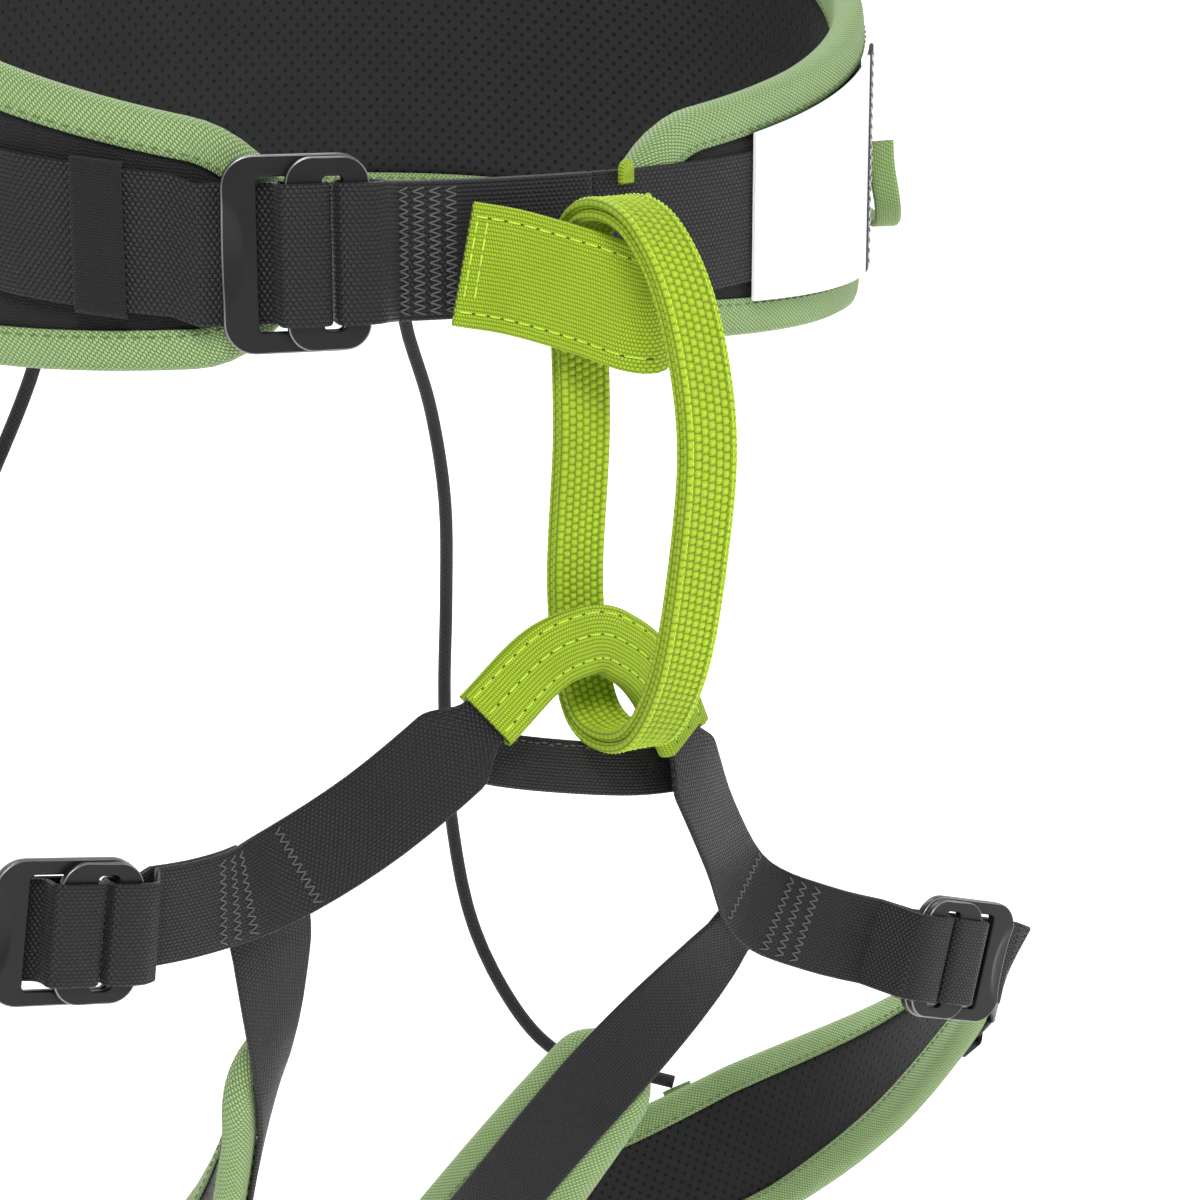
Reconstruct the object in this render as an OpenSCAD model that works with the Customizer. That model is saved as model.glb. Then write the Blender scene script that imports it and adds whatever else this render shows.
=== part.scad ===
// Climbing saddle: a padded waist belt, two leg loops, and the belay loop that
// ties them together. +X is the wearer's left, -Y is the front and +Z is up.
// The origin is the middle of the waist opening, level with the front of the belt.

/* [Waist] */
// Half of the waist opening from side to side, to the belt webbing
waist_a = 172; // [150:1:190]
// Half of the waist opening from front to back, to the belt webbing
waist_b = 106; // [92:1:118]
// How much higher the belt sits at the back than at the front
waist_rise = 52; // [30:1:64]
// Width of the waist webbing
waist_web = 40; // [34:1:46]
// Half height of the waist pad at its two front ends
waist_pad_end = 29; // [26:1:34]
// Half height of the waist pad at the back
waist_pad_back = 60; // [50:1:66]
// Where the pad starts, in degrees round the belt from the front centre
pad_start = 7; // [3:1:8]
// Where the pad ends, in degrees round the belt from the front centre
pad_end = 334; // [322:1:336]
// Where the waist buckle sits, in degrees round the belt
buckle_at = -26.7; // [-27.5:0.1:-26]

/* [Soft layers] */
// Thickness of all black webbing
web_t = 1.8; // [1.4:0.1:2.2]
// Thickness of the waist pad's foam
waist_foam = 7; // [5:0.5:10]
// Thickness of a leg pad's foam
leg_foam = 5.5; // [4:0.5:8]
// Thickness of the liner and of the outer shell of every pad
skin_t = 1.1; // [0.8:0.1:1.4]
// How far the edge binding reaches past the pad's edge
bind_t = 2.6; // [2:0.1:3.5]
// Clearance between soft pieces that lie on each other
gap = 0.3; // [0.25:0.05:0.4]

/* [Loops] */
// Width of the belay loop
belay_w = 17.5; // [14:0.5:20]
// Thickness of each of the belay loop's two layers
belay_t = 3; // [2.4:0.1:3.4]
// Width of the strap of the waist tie-in point
tie_in_w = 36; // [30:1:38]
// Width of the sleeve of the leg tie-in point
sleeve_w = 21; // [18:1:22]
// Width of the cross strap between the two leg loops
cross_w = 16; // [15:1:20]

/* [Legs] */
// Width of the leg webbing in front
leg_web = 28; // [24:1:31]
// Width of the webbing round the thigh
band_web = 25; // [21:1:28]
// Half height of a leg pad at the back of the thigh
leg_pad_back = 26; // [22:1:30]
// Half height of a leg pad at its two ends
leg_pad_end = 14; // [13:1:16]
// How far the legs hang over to the wearer's left, in degrees
hang = 13; // [0:1:15]

/* [Buckles] */
// Thickness of the buckle's frame plate
frame_t = 3; // [2.4:0.1:3.2]
// Thickness of the buckle's slider plate
slider_t = 2.5; // [2:0.1:2.6]
// Width of a buckle along the webbing
buckle_l = 42; // [41:0.5:44]
// Height of the waist buckle's rails, above and below the webbing's slot
waist_rail = 6; // [5:0.5:8]
// Height of a leg buckle's rails, above and below the webbing's slot
leg_rail = 4.2; // [3.5:0.1:6]
// Room above and below the webbing in its slot
slot_room = 1.7; // [1:0.1:2.5]

/* [Gear loops] */
// Width of the tape of a gear loop
gear_w = 9; // [7:0.5:11]
// Thickness of a gear loop
gear_t = 2.4; // [2:0.1:3]
// Half of a gear loop's length, in degrees round the belt
gear_half = 15; // [12:1:16]

/* [Hidden] */

webbing_colour = "#26262a";
lime = "#a8cc28";
sage = "#8db072";
liner_colour = "#333436";
shell_colour = "#3a3b3e";
metal_colour = "#1c1c1f";

// The belt's plan is a superellipse, and belt_squareness is its exponent.
belt_squareness = 2.15;
belt_z = -5;
belt_step = 3;
// The lower straps hang rolled about this point, at the middle of the leg tie-in.
hang_point = [0, -128, -108];

// ---- curves ----------------------------------------------------------------

function unit(v) = v / norm(v);
function mix(a, b, u) = a + (b - a) * u;
function clip(x) = max(0, min(1, x));
function power(x, p) = sign(x) * pow(abs(x), p);

// A knot of a list that is continued straight at its ends, or runs round.
function knot(p, i, loop) =
  loop ? p[(i + len(p)) % len(p)]
  : i < 0 ? 2 * p[0] - p[1]
  : i >= len(p) ? 2 * p[len(p) - 1] - p[len(p) - 2]
  : p[i];

// The cubic between b and c of four knots in a row.
function blend4(a, b, c, d, u) =
  0.5 * (2 * b + (c - a) * u + (2 * a - 5 * b + 4 * c - d) * u * u
    + (3 * b - a - 3 * c + d) * u * u * u);

// A smooth curve through the points p, with n steps between each two.
function spline(p, n, loop = false) = [
  for (i = [0:len(p) - (loop ? 1 : 2)])
    for (k = [0:n - 1])
      blend4(knot(p, i - 1, loop), knot(p, i, loop),
        knot(p, i + 1, loop), knot(p, i + 2, loop), k / n),
  each (loop ? [] : [p[len(p) - 1]])
];

// The direction of a path at its point i.
function heading(p, i, loop = false) =
  loop ? unit(knot(p, i + 1, true) - knot(p, i - 1, true))
  : unit(p[min(i + 1, len(p) - 1)] - p[max(i - 1, 0)]);

// The length of a path up to each of its points.
function lengths(p) = [
  for (i = 0, s = 0; i < len(p); i = i + 1,
       s = s + norm(p[min(i, len(p) - 1)] - p[i - 1])) s
];

// What a list holds at the length s of its path, whose lengths are cum.
function at_length(list, cum, s) =
  let (i = max(concat([0], [for (k = [0:len(cum) - 2]) if (cum[k] <= s) k])))
  mix(list[i], list[i + 1], (s - cum[i]) / (cum[i + 1] - cum[i]));

// n + 1 even samples of a list between two lengths of its path.
function stretch(list, cum, s0, s1, n) =
  [for (k = [0:n]) at_length(list, cum, mix(s0, s1, k / n))];

// ---- the belt's line ---------------------------------------------------------

// A point round the belt: t in degrees from the front centre towards the wearer's
// left, off outwards from the webbing's middle, z up from its centre line.
function belt_plan(t) = [
  waist_a * power(sin(t), 2 / belt_squareness),
  -waist_b * power(cos(t), 2 / belt_squareness), 0
];
function belt_normal(t) =
  let (p = belt_plan(t), n = belt_squareness - 1)
  unit([power(p.x / waist_a, n) / waist_a, power(p.y / waist_b, n) / waist_b, 0]);
function belt_at(t, off = 0, z = 0) =
  belt_plan(t) + off * belt_normal(t)
  + [0, 0, z + belt_z + waist_rise * pow((1 - cos(t)) / 2, 1.1)];

// ---- sweeps ------------------------------------------------------------------

// A flat section: w across, and t thick with its middle off outwards.
function flat(w, t, off = 0) = [
  [-w / 2, off - t / 2], [w / 2, off - t / 2], [w / 2, off + t / 2], [-w / 2, off + t / 2]
];

// The rings of sections carried along a path. normals point outwards.
// upright ones keep their width straight up, as the belt's pieces do.
function rings(path, normals, sections, loop = false, upright = false) = [
  for (i = [0:len(path) - 1])
    let (t = heading(path, i, loop), a = cross(t, normals[i]),
      w = upright ? [0, 0, sign(a.z)] : unit(a), n = upright ? unit(normals[i]) : cross(w, t))
      [for (q = sections[i]) path[i] + w * q[0] + n * q[1]]
];

// The closed solid through a list of rings. end_faces splits a hollowed section's two
// ends into faces that don't cross the hollow.
module skin(ring_list, loop = false, end_faces = []) {
  n = len(ring_list);
  m = len(ring_list[0]);
  ends = len(end_faces) > 0 ? end_faces : [[for (j = [0:m - 1]) j]];
  sides = [
    for (i = [0:n - (loop ? 1 : 2)])
      for (j = [0:m - 1])
        let (a = i * m + j, b = i * m + (j + 1) % m,
          c = ((i + 1) % n) * m + (j + 1) % m, d = ((i + 1) % n) * m + j)
          // The two faces of a strap split their corners the same way, so that what
          // lies on it stays clear of it where it twists.
          each (j < m / 2 ? [[a, b, c], [a, c, d]] : [[a, b, d], [b, c, d]])
  ];
  caps = loop ? [] : concat(
    [for (f = ends) [for (k = [len(f) - 1:-1:0]) f[k]]],
    [for (f = ends) [for (j = f) (n - 1) * m + j]]);
  polyhedron(points = [for (r = ring_list) each r], faces = concat(sides, caps));
}

// A length of webbing: one section all the way.
module strap(path, normals, section, loop = false, upright = false)
  skin(rings(path, normals, [for (p = path) section], loop, upright), loop);

// ---- pads --------------------------------------------------------------------

// Stations along a pad: [place, heading, normal, half height, angle round its end,
// direction across]. Both ends are half ellipses, end_l long.
function stations(path, normals, halves, end_l, upright = false) =
  let (cum = lengths(path), total = cum[len(cum) - 1], turn = [10, 28, 46, 64, 80])
  [
    for (a = turn) let (s = end_l * (1 - cos(a))) station(path, normals, halves, cum, s, a, upright),
    for (s = cum) if (s > end_l && s < total - end_l)
      station(path, normals, halves, cum, s, 90, upright),
    for (k = [len(turn) - 1:-1:0])
      let (a = 180 - turn[k], s = total - end_l * (1 + cos(a)))
        station(path, normals, halves, cum, s, a, upright)
  ];
function station(path, normals, halves, cum, s, a, upright) =
  let (t = unit(at_length(path, cum, min(s + 2, cum[len(cum) - 1]))
      - at_length(path, cum, max(s - 2, 0))),
    n = unit(at_length(normals, cum, s)))
  [at_length(path, cum, s), t, n, at_length(halves, cum, s), a,
    upright ? [0, 0, -1] : unit(cross(t, n))];

// One layer of a pad, from in_off to out_off along the normal.
module pad_layer(list, in_off, out_off)
  skin([
    for (q = list)
      let (w = q[5], h = q[3] * sin(q[4]))
        [for (c = [[-h, in_off], [h, in_off], [h, out_off], [-h, out_off]])
          q[0] + w * c[0] + q[2] * c[1]]
  ]);

// The binding that runs all round a pad's edge, a gap outside it.
module pad_binding(list, in_off, out_off, end_l)
  let (n = len(list), way = concat(
      [for (i = [0:n - 1]) [list[i], 1]],
      [for (i = [n - 1:-1:0]) [list[i], -1]]))
    skin([
      for (e = way)
        let (q = e[0], w = q[5], h = q[3] * sin(q[4]),
          out = unit(w * e[1] * sin(q[4]) / q[3] - q[1] * cos(q[4]) / end_l),
          edge = q[0] + w * e[1] * h)
          [for (c = [[gap, in_off], [gap + bind_t, in_off],
                     [gap + bind_t, out_off], [gap, out_off]])
            edge + out * c[0] + q[2] * c[1]]
    ], loop = true);

// ---- the buckle --------------------------------------------------------------
// Its own frame: x along the webbing with the thumb bar at -x, y inwards through
// the plate, z across the webbing. Its plate lies at y = 0.

buckle_round = 9;
window_round = 1.5;
thumb_bar = 10;
scoop_r = 56;
scoop_depth = 1.5;
scoop_reach = 4.6;
// How much smaller than the frame the slider plate is.
slider_inset = 0.6;
window_end = 13;
slider_start = -3.5;
slider_bar_end = 7;
plate_gap = gap;
run_room = 1.1;
bar_end = buckle_l / 2;
slider_y = frame_t / 2 + plate_gap + slider_t;
pivot_x = (window_end + bar_end) / 2;
base_y = 5.5;

function buckle_half(w, rail) = w / 2 + slot_room + rail;

// A plate in the x-z plane, from y0 to y1, with rounded corners.
module plate(x0, x1, half, r, y0, y1)
  translate([0, y1, 0]) rotate([90, 0, 0]) linear_extrude(y1 - y0)
    union() {
      translate([x0 + r, -half]) square([x1 - x0 - 2 * r, 2 * half]);
      translate([x0, -half + r]) square([x1 - x0, 2 * (half - r)]);
      for (x = [x0 + r, x1 - r], z = [-half + r, half - r])
        translate([x, z]) circle(r, $fn = 48);
    }

module buckle_frame(w, rail) {
  half = buckle_half(w, rail);
  color(metal_colour)
    difference() {
      plate(-bar_end, bar_end, half, buckle_round, -frame_t / 2, frame_t / 2);
      plate(-bar_end + thumb_bar, window_end, w / 2 + slot_room, window_round,
        -frame_t, frame_t);
      // The scoop for the thumb, cut out of the edge and face of the bar.
      translate([-bar_end - 1, -frame_t / 2 + scoop_depth - scoop_r, 0]) rotate([90, 0, 90])
        cylinder(r = scoop_r, h = 1 + scoop_reach, $fn = 200);
    }
}

module buckle_slider(w, rail) {
  half = buckle_half(w, rail) - slider_inset;
  color(metal_colour)
    difference() {
      plate(slider_start, bar_end - slider_inset, half, buckle_round - 1.5, -slider_y,
        -slider_y + slider_t);
      plate(slider_bar_end, window_end, w / 2 + slot_room, window_round,
        -slider_y - 1, -slider_y + slider_t + 1);
    }
}

// A strip of webbing that follows points [x, out] in the buckle's frame.
module buckle_web(points, w)
  let (p = [for (q = spline(points, 3)) [q[0], -q[1], 0]])
    strap(p, [for (i = [0:len(p) - 1]) cross([0, 0, 1], heading(p, i))], flat(w, web_t));

// The webbing's turn over the slider's bar, which lifts with the buckle.
wrap_room = 0.6;
wrap_left = slider_start - wrap_room - web_t / 2;
wrap_right = slider_bar_end + wrap_room + web_t / 2;
wrap_top = slider_y + wrap_room + web_t / 2;
wrap_foot = -frame_t / 2;
module buckle_wrap(w)
  color(webbing_colour)
    buckle_web([
      [wrap_left, wrap_foot], [wrap_left, wrap_top - 1.8], [wrap_left + 0.6, wrap_top - 0.5],
      [wrap_left + 2, wrap_top], [wrap_right - 2, wrap_top],
      [wrap_right - 0.6, wrap_top - 0.5], [wrap_right, wrap_top - 1.8], [wrap_right, wrap_foot]
    ], w);

// The two layers of a sewn loop round the buckle's plain bars, as points
// [x, out]. far is where the layers lie flat again, layer is their offset there.
loop_top = slider_y + run_room + web_t / 2;
loop_left = window_end - run_room + 0.2 - web_t / 2;
loop_foot = -frame_t / 2 - run_room - web_t / 2;
layer = (web_t + gap) / 2;
function loop_points() = [
  [bar_end + 3.6, loop_top - 2.6], [bar_end + 0.6, loop_top - 0.7], [pivot_x, loop_top],
  [loop_left + 1.2, loop_top - 0.5], [loop_left, loop_top - 2.6], [loop_left, loop_foot + 2.2],
  [loop_left + 1.2, loop_foot + 0.4], [pivot_x, loop_foot], [bar_end + 1, loop_foot + 0.4]
];

// ---- waist pieces ------------------------------------------------------------

shell_out = -web_t / 2 - gap;
foam_out = shell_out - skin_t - gap;
foam_in = foam_out - waist_foam;
liner_in = foam_in - gap - skin_t;
pad_round = 30;
// The share of its length over which the pad grows from its end to its full height.
waist_pad_ramp = 0.32;
pad_t = [for (t = [pad_start:belt_step:pad_end]) t];
function waist_half(t) =
  let (u = (t - pad_start) / (pad_end - pad_start))
  mix(waist_pad_end, waist_pad_back, clip(min(u, 1 - u) / waist_pad_ramp));
waist_stations = stations([for (t = pad_t) belt_at(t)], [for (t = pad_t) belt_normal(t)],
  [for (t = pad_t) waist_half(t)], pad_round, upright = true);

module waist_pad_liner()
  color(liner_colour) pad_layer(waist_stations, liner_in, liner_in + skin_t);
module waist_pad_foam()
  color("#4a4b4e") pad_layer(waist_stations, foam_in, foam_out);
module waist_pad_shell()
  color(shell_colour) pad_layer(waist_stations, shell_out - skin_t, shell_out);
module waist_pad_binding()
  color(sage) pad_binding(waist_stations, liner_in, shell_out, pad_round);

// A strip that follows the belt through a list of angles, off outwards.
module belt_strap(list, off, section)
  strap([for (a = list) belt_at(a, off)], [for (a = list) belt_normal(a)], section,
    upright = true);

// The belt lies on its own tail for tail_deg behind the buckle, then drops to the pad.
tail_deg = 16;
near_deg = 13;
front_join = 4;
// The front strap's two layers part this far before the buckle.
strap_deg = 18;
belt_end = 360 + buckle_at - near_deg;
belt_t = [for (t = [front_join:belt_step:belt_end]) t];
function belt_lift(t) = clip((t - (belt_end - tail_deg - 8)) / 6) * (web_t + gap);

// The place and turn of the waist buckle's frame.
waist_buckle_p = belt_at(buckle_at, base_y);
waist_buckle_turn = atan2(belt_normal(buckle_at).x, -belt_normal(buckle_at).y);
module at_waist_buckle()
  translate(waist_buckle_p) rotate([0, 0, waist_buckle_turn]) children();
// A point of the buckle's frame [x, out] in the part's own frame.
function from_waist_buckle(q) =
  waist_buckle_p + q[0] * [cos(waist_buckle_turn), sin(waist_buckle_turn), 0]
  + q[1] * belt_normal(buckle_at);

main_y = -frame_t / 2 - 0.6 - web_t / 2;
tail_y = main_y - web_t - gap;

module waist_belt() {
  near = [for (q = [[-27, main_y - 0.2], [-20, main_y], [-12, main_y], [wrap_left + 1, main_y]])
    from_waist_buckle(q)];
  far = [for (t = belt_t) belt_at(t, belt_lift(t))];
  path = concat(far, near);
  normals = concat([for (t = belt_t) belt_normal(t)], [for (q = near) belt_normal(buckle_at)]);
  color(webbing_colour) strap(path, normals, flat(waist_web, web_t), upright = true);
}

module waist_belt_tail() {
  tail_t = [for (t = belt_t) if (t > belt_end - tail_deg) t];
  near = [for (q = [[-27, tail_y - 0.2], [-20, tail_y], [-12, tail_y], [wrap_right, tail_y]])
    from_waist_buckle(q)];
  path = concat([for (t = tail_t) belt_at(t)], near);
  normals = concat([for (t = tail_t) belt_normal(t)], [for (q = near) belt_normal(buckle_at)]);
  color(webbing_colour) strap(path, normals, flat(waist_web, web_t), upright = true);
}

module waist_front_strap() {
  front_t = [for (t = [front_join - 1.2:-belt_step:buckle_at + strap_deg]) t];
  back_t = [for (k = [len(front_t) - 1:-1:0]) front_t[k]];
  turn = [for (q = spline(loop_points(), 3)) from_waist_buckle(q)];
  path = concat([for (t = front_t) belt_at(t, layer)], turn,
    [for (t = back_t) belt_at(t, -layer)]);
  normals = [for (i = [0:len(path) - 1]) cross([0, 0, 1], heading(path, i)) * -1];
  color(webbing_colour) strap(path, normals, flat(waist_web, web_t));
}

// A keeper is an elastic bridge over the webbing, sewn down above and below it.
keeper_t = 1.2;
keeper_deg = 3;
keeper_at = belt_end - 8;
function bridge(w, top, foot) = [
  [-w / 2 - gap - keeper_t, foot], [-w / 2 - gap, foot], [-w / 2 - gap, top],
  [w / 2 + gap, top], [w / 2 + gap, foot], [w / 2 + gap + keeper_t, foot],
  [w / 2 + gap + keeper_t, top + keeper_t], [-w / 2 - gap - keeper_t, top + keeper_t]
];
bridge_ends = [[0, 1, 2, 7], [7, 2, 3, 6], [6, 3, 4, 5]];
module waist_keeper()
  color("#1f1f22")
    belt_strap([keeper_at - keeper_deg, keeper_at, keeper_at + keeper_deg], 0,
      bridge(waist_web, 3 * web_t / 2 + 3 * gap, -web_t / 2));

panel_front = 24;
panel_rear = 58;
panel_t = [for (t = [panel_front:belt_step:panel_rear]) t];
panel_thick = 1.2;
panel_off = (web_t + panel_thick) / 2 + gap;
panel_foot = 9;
edge_t = [for (k = [0:2]) panel_rear + 0.3 + 1.6 * k];
module panel(list)
  skin(rings([for (t = list) belt_at(t, panel_off)], [for (t = list) belt_normal(t)],
    [for (t = list) flat(2 * waist_half(t) - panel_foot, panel_thick)], upright = true));
module label_panel() color("#f2f2f2") panel(panel_t);
module label_edge() color("#4b4c50") panel(edge_t);

tie_in_t = 2;
tie_in_route = [
  [-36, -111.8, -8], [-22, -118, -11], [-8, -133, -16], [1, -144, -20], [7, -147, -20],
  [14, -139, -16], [19, -126, -11], [25, -112, -6]
];
module waist_tie_in() {
  path = spline(tie_in_route, 5);
  normals = [for (i = [0:len(path) - 1]) -cross([0, 0, 1], heading(path, i))];
  color(lime) strap(path, normals, flat(tie_in_w, tie_in_t));
}
module tie_in_nub()
  color(lime) translate([22, -107.7, 15]) rotate([90, 0, -20])
    linear_extrude(2) union() {
      circle(3.2, $fn = 32);
      translate([-3.2, -4]) square([6.4, 4]);
    }

// ---- belay loop --------------------------------------------------------------

belay_route = [
  [0, -118, -60], [0, -117, -20], [0, -120, 0], [0, -134, 8], [0, -154, 4], [0, -172, -16],
  [0, -182, -50], [0, -178, -88], [0, -168, -123], [0, -150, -144.5], [0, -124, -143],
  [0, -114.5, -109]
];
module belay_layer(off) {
  path = spline(belay_route, 4, true);
  normals = [for (i = [0:len(path) - 1]) cross([1, 0, 0], heading(path, i, true)) * -1];
  color(lime) strap(path, normals, flat(belay_w, belay_t, off), loop = true);
}
module belay_loop_outer() belay_layer((belay_t + gap) / 2);
module belay_loop_inner() belay_layer(-(belay_t + gap) / 2);

// ---- leg pieces --------------------------------------------------------------
// Drawn for the wearer's left leg before it hangs over, and mirrored for the right.

module hanging(side)
  translate(hang_point) rotate([0, hang, 0]) mirror([side < 0 ? 1 : 0, 0, 0])
    translate(-hang_point) children();

// The front strap's line, from the middle of the leg tie-in out to the thigh.
front_route = [
  [0, -131, -118], [18, -132, -126], [38, -133, -149], [62, -127, -177], [86, -119, -199],
  [110, -126, -206], [138, -133, -209], [162, -135, -211], [188, -128, -212]
];
front_faces = [
  [0, -1, 0.3], [0.1, -1, 0.3], [0.3, -1, 0.3], [0.5, -0.85, 0.2], [0.3, -0.95, 0.1],
  [-0.2, -1, 0.05], [-0.1, -1, 0.05], [0.1, -1, 0.05], [0.3, -1, 0.05]
];
front_path = spline(front_route, 5);
front_normal = spline(front_faces, 5);
front_len = lengths(front_path);

// Lengths along the front strap: the sleeve's end, the swing line, and the buckle.
sleeve_end = 46;
swing_at = 70;
swing_gap = 0.65;
leg_buckle_at = 197;
leg_base_y = 4;

leg_p = at_length(front_path, front_len, leg_buckle_at);
leg_x = unit(at_length(front_path, front_len, leg_buckle_at + 6)
  - at_length(front_path, front_len, leg_buckle_at - 6));
leg_n0 = unit(at_length(front_normal, front_len, leg_buckle_at));
leg_z = unit(cross(leg_x, -leg_n0));
leg_n = -cross(leg_z, leg_x);
// A point of the leg buckle's frame [x, out], whose thumb bar is at +x here.
function from_leg_buckle(q) = leg_p - q[0] * leg_x + (q[1] + leg_base_y) * leg_n;
module at_leg_buckle()
  multmatrix([
    [leg_x.x, -leg_n.x, leg_z.x, leg_p.x + leg_base_y * leg_n.x],
    [leg_x.y, -leg_n.y, leg_z.y, leg_p.y + leg_base_y * leg_n.y],
    [leg_x.z, -leg_n.z, leg_z.z, leg_p.z + leg_base_y * leg_n.z],
    [0, 0, 0, 1]
  ]) mirror([1, 0, 0]) children();

// The band's line round the thigh, from the buckle back to the front strap.
band_route = [
  [196, -124, -214], [213, -98, -236], [223, -50, -278], [218, 0, -318], [194, 40, -354],
  [152, 62, -378], [110, 58, -392], [72, 34, -398], [48, -8, -386], [43, -50, -346],
  [57, -88, -278], [76, -109, -228], [86, -115, -206]
];
band_path = spline(band_route, 5);
band_middle = [135, -30, 0];
// The band faces straight out from the thigh's middle, and its last stretch, the
// inner strap, turns to lie under the front strap.
band_end_facing = 20;
function band_facing(i) =
  let (p = band_path[i], u = clip((i - (len(band_path) - 11)) / 8),
    out = unit([p.x - band_middle.x, p.y - band_middle.y, 0]))
  unit(mix(out, front_normal[band_end_facing], u));
band_normal = [for (i = [0:len(band_path) - 1]) band_facing(i)];
band_len = lengths(band_path);
band_total = band_len[len(band_len) - 1];
pad_from = 2;
pad_to = band_total - 58;
pad_steps = 52;
leg_shell_out = -web_t / 2 - gap;
leg_foam_out = leg_shell_out - skin_t - gap;
leg_foam_in = leg_foam_out - leg_foam;
leg_liner_in = leg_foam_in - gap - skin_t;
leg_round = 15;
leg_stations = stations(
  stretch(band_path, band_len, pad_from, pad_to, pad_steps),
  stretch(band_normal, band_len, pad_from, pad_to, pad_steps),
  [for (k = [0:pad_steps]) let (u = k / pad_steps)
    mix(leg_pad_end, leg_pad_back, pow(clip(min(u, 1 - u) / 0.3), 0.9))],
  leg_round);

module leg_pad_liner()
  color(liner_colour) pad_layer(leg_stations, leg_liner_in, leg_liner_in + skin_t);
module leg_pad_foam()
  color("#4a4b4e") pad_layer(leg_stations, leg_foam_in, leg_foam_out);
module leg_pad_shell()
  color(shell_colour) pad_layer(leg_stations, leg_shell_out - skin_t, leg_shell_out);
module leg_pad_binding()
  color(sage) pad_binding(leg_stations, leg_liner_in, leg_shell_out, leg_round);

// The band lies this much further out, because it twists round the thigh.
band_off = 1;
// The two steps along the pad that the leg keeper reaches between.
leg_keeper_steps = [4, 5];
// Extra room in it, because the band turns inside it.
keeper_ease = 0.5;
pad_step = (pad_to - pad_from) / pad_steps;
function band_face(s) = unit(at_length(band_normal, band_len, s));
function on_band(s, off) = at_length(band_path, band_len, s) + off * band_face(s);

module leg_band() {
  near = [for (q = [[wrap_left + 1, main_y], [-12, main_y], [-20, main_y], [-26, main_y]])
    from_leg_buckle(q)];
  list = [for (s = [pad_from + 2 * pad_step:pad_step:band_total]) s];
  path = concat(near, [for (s = list) on_band(s, band_off)]);
  normals = concat([for (q = near) leg_n], [for (s = list) band_face(s)]);
  color(webbing_colour) strap(path, normals, flat(band_web, web_t));
}

module leg_front_strap() {
  s_loop = leg_buckle_at - bar_end - 9;
  n = 22;
  top_p = stretch(front_path, front_len, swing_at + swing_gap, s_loop, n);
  top_n = stretch(front_normal, front_len, swing_at + swing_gap, s_loop, n);
  turn = [for (q = spline(loop_points(), 3)) from_leg_buckle(q)];
  under = [for (k = [0:7]) let (s = mix(s_loop, s_loop - 34, k / 7))
    at_length(front_path, front_len, s)
    - (web_t + gap) * unit(at_length(front_normal, front_len, s))];
  path = concat(top_p, turn, under);
  normals = concat([for (q = top_n) unit(q)],
    [for (i = [0:len(turn) - 1]) cross(heading(turn, i), leg_z)],
    [for (k = [0:7]) -unit(at_length(front_normal, front_len, mix(s_loop, s_loop - 34, k / 7)))]);
  color(webbing_colour) strap(path, normals, flat(leg_web, web_t));
}

module leg_keeper() {
  list = [for (k = leg_keeper_steps) pad_from + k * pad_step];
  middle = (list[0] + list[1]) / 2;
  color("#1f1f22")
    skin(rings([for (s = list) on_band(s, band_off)], [for (s = list) band_face(middle)],
      [for (s = list) bridge(band_web + keeper_ease, web_t / 2 + gap + keeper_ease,
        -web_t / 2)]), end_faces = bridge_ends);
}

// ---- leg tie-in --------------------------------------------------------------

function both_sides(list, flip) = concat(
  [for (k = [len(list) - 1:-1:1]) [-list[k].x, list[k].y, list[k].z]], list);

sleeve_steps = 10;
module leg_tie_in_webbing() {
  list = [for (k = [0:sleeve_steps]) k * sleeve_end / sleeve_steps,
    for (k = [1:5]) mix(sleeve_end, swing_at - swing_gap, k / 5)];
  p = [for (s = list) at_length(front_path, front_len, s)];
  n = [for (s = list) at_length(front_normal, front_len, s)];
  half = [for (s = list) clip((s - sleeve_end) / 14)];
  width = [for (k = [len(half) - 1:-1:1]) half[k], each half];
  hang_path = both_sides(p);
  hang_normals = both_sides(n);
  color(webbing_colour) hanging(1)
    skin(rings(hang_path, hang_normals, [for (u = width) flat(mix(sleeve_w - 5, leg_web, u), web_t)]));
}

// The sleeve is one tape folded up round the webbing, open along its lower edge.
module leg_tie_in_sleeve() {
  p = stretch(front_path, front_len, 0, sleeve_end, sleeve_steps);
  n = stretch(front_normal, front_len, 0, sleeve_end, sleeve_steps);
  out = sleeve_w / 2;
  inner = web_t / 2 + 2 * gap;
  wall = 1.7;
  section = [
    [-out, -inner - wall], [out, -inner - wall], [out, inner + wall], [-out, inner + wall],
    [-out, inner], [out - wall, inner], [out - wall, -inner], [-out, -inner]
  ];
  color(lime) hanging(1) strap(both_sides(p), both_sides(n), section);
}

cross_route = [
  [-46, -126.5, -155.2], [-20, -128, -158.2], [20, -128, -158.2], [46, -126.5, -155.2]
];
module cross_strap() {
  path = spline(cross_route, 5);
  color(webbing_colour) hanging(1)
    strap(path, [for (q = path) [0, -1, 0.3]], flat(cross_w, web_t));
}

// ---- gear loops --------------------------------------------------------------

// Points [share of the half length, out, up] along a gear loop.
gear_route = [
  [-1, 0, 2], [-0.98, 0.8, -7], [-0.88, 3.2, -19], [-0.52, 5.6, -30], [0, 6.2, -34],
  [0.52, 5.6, -30], [0.88, 3.2, -19], [0.98, 0.8, -7], [1, 0, 2]
];
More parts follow.
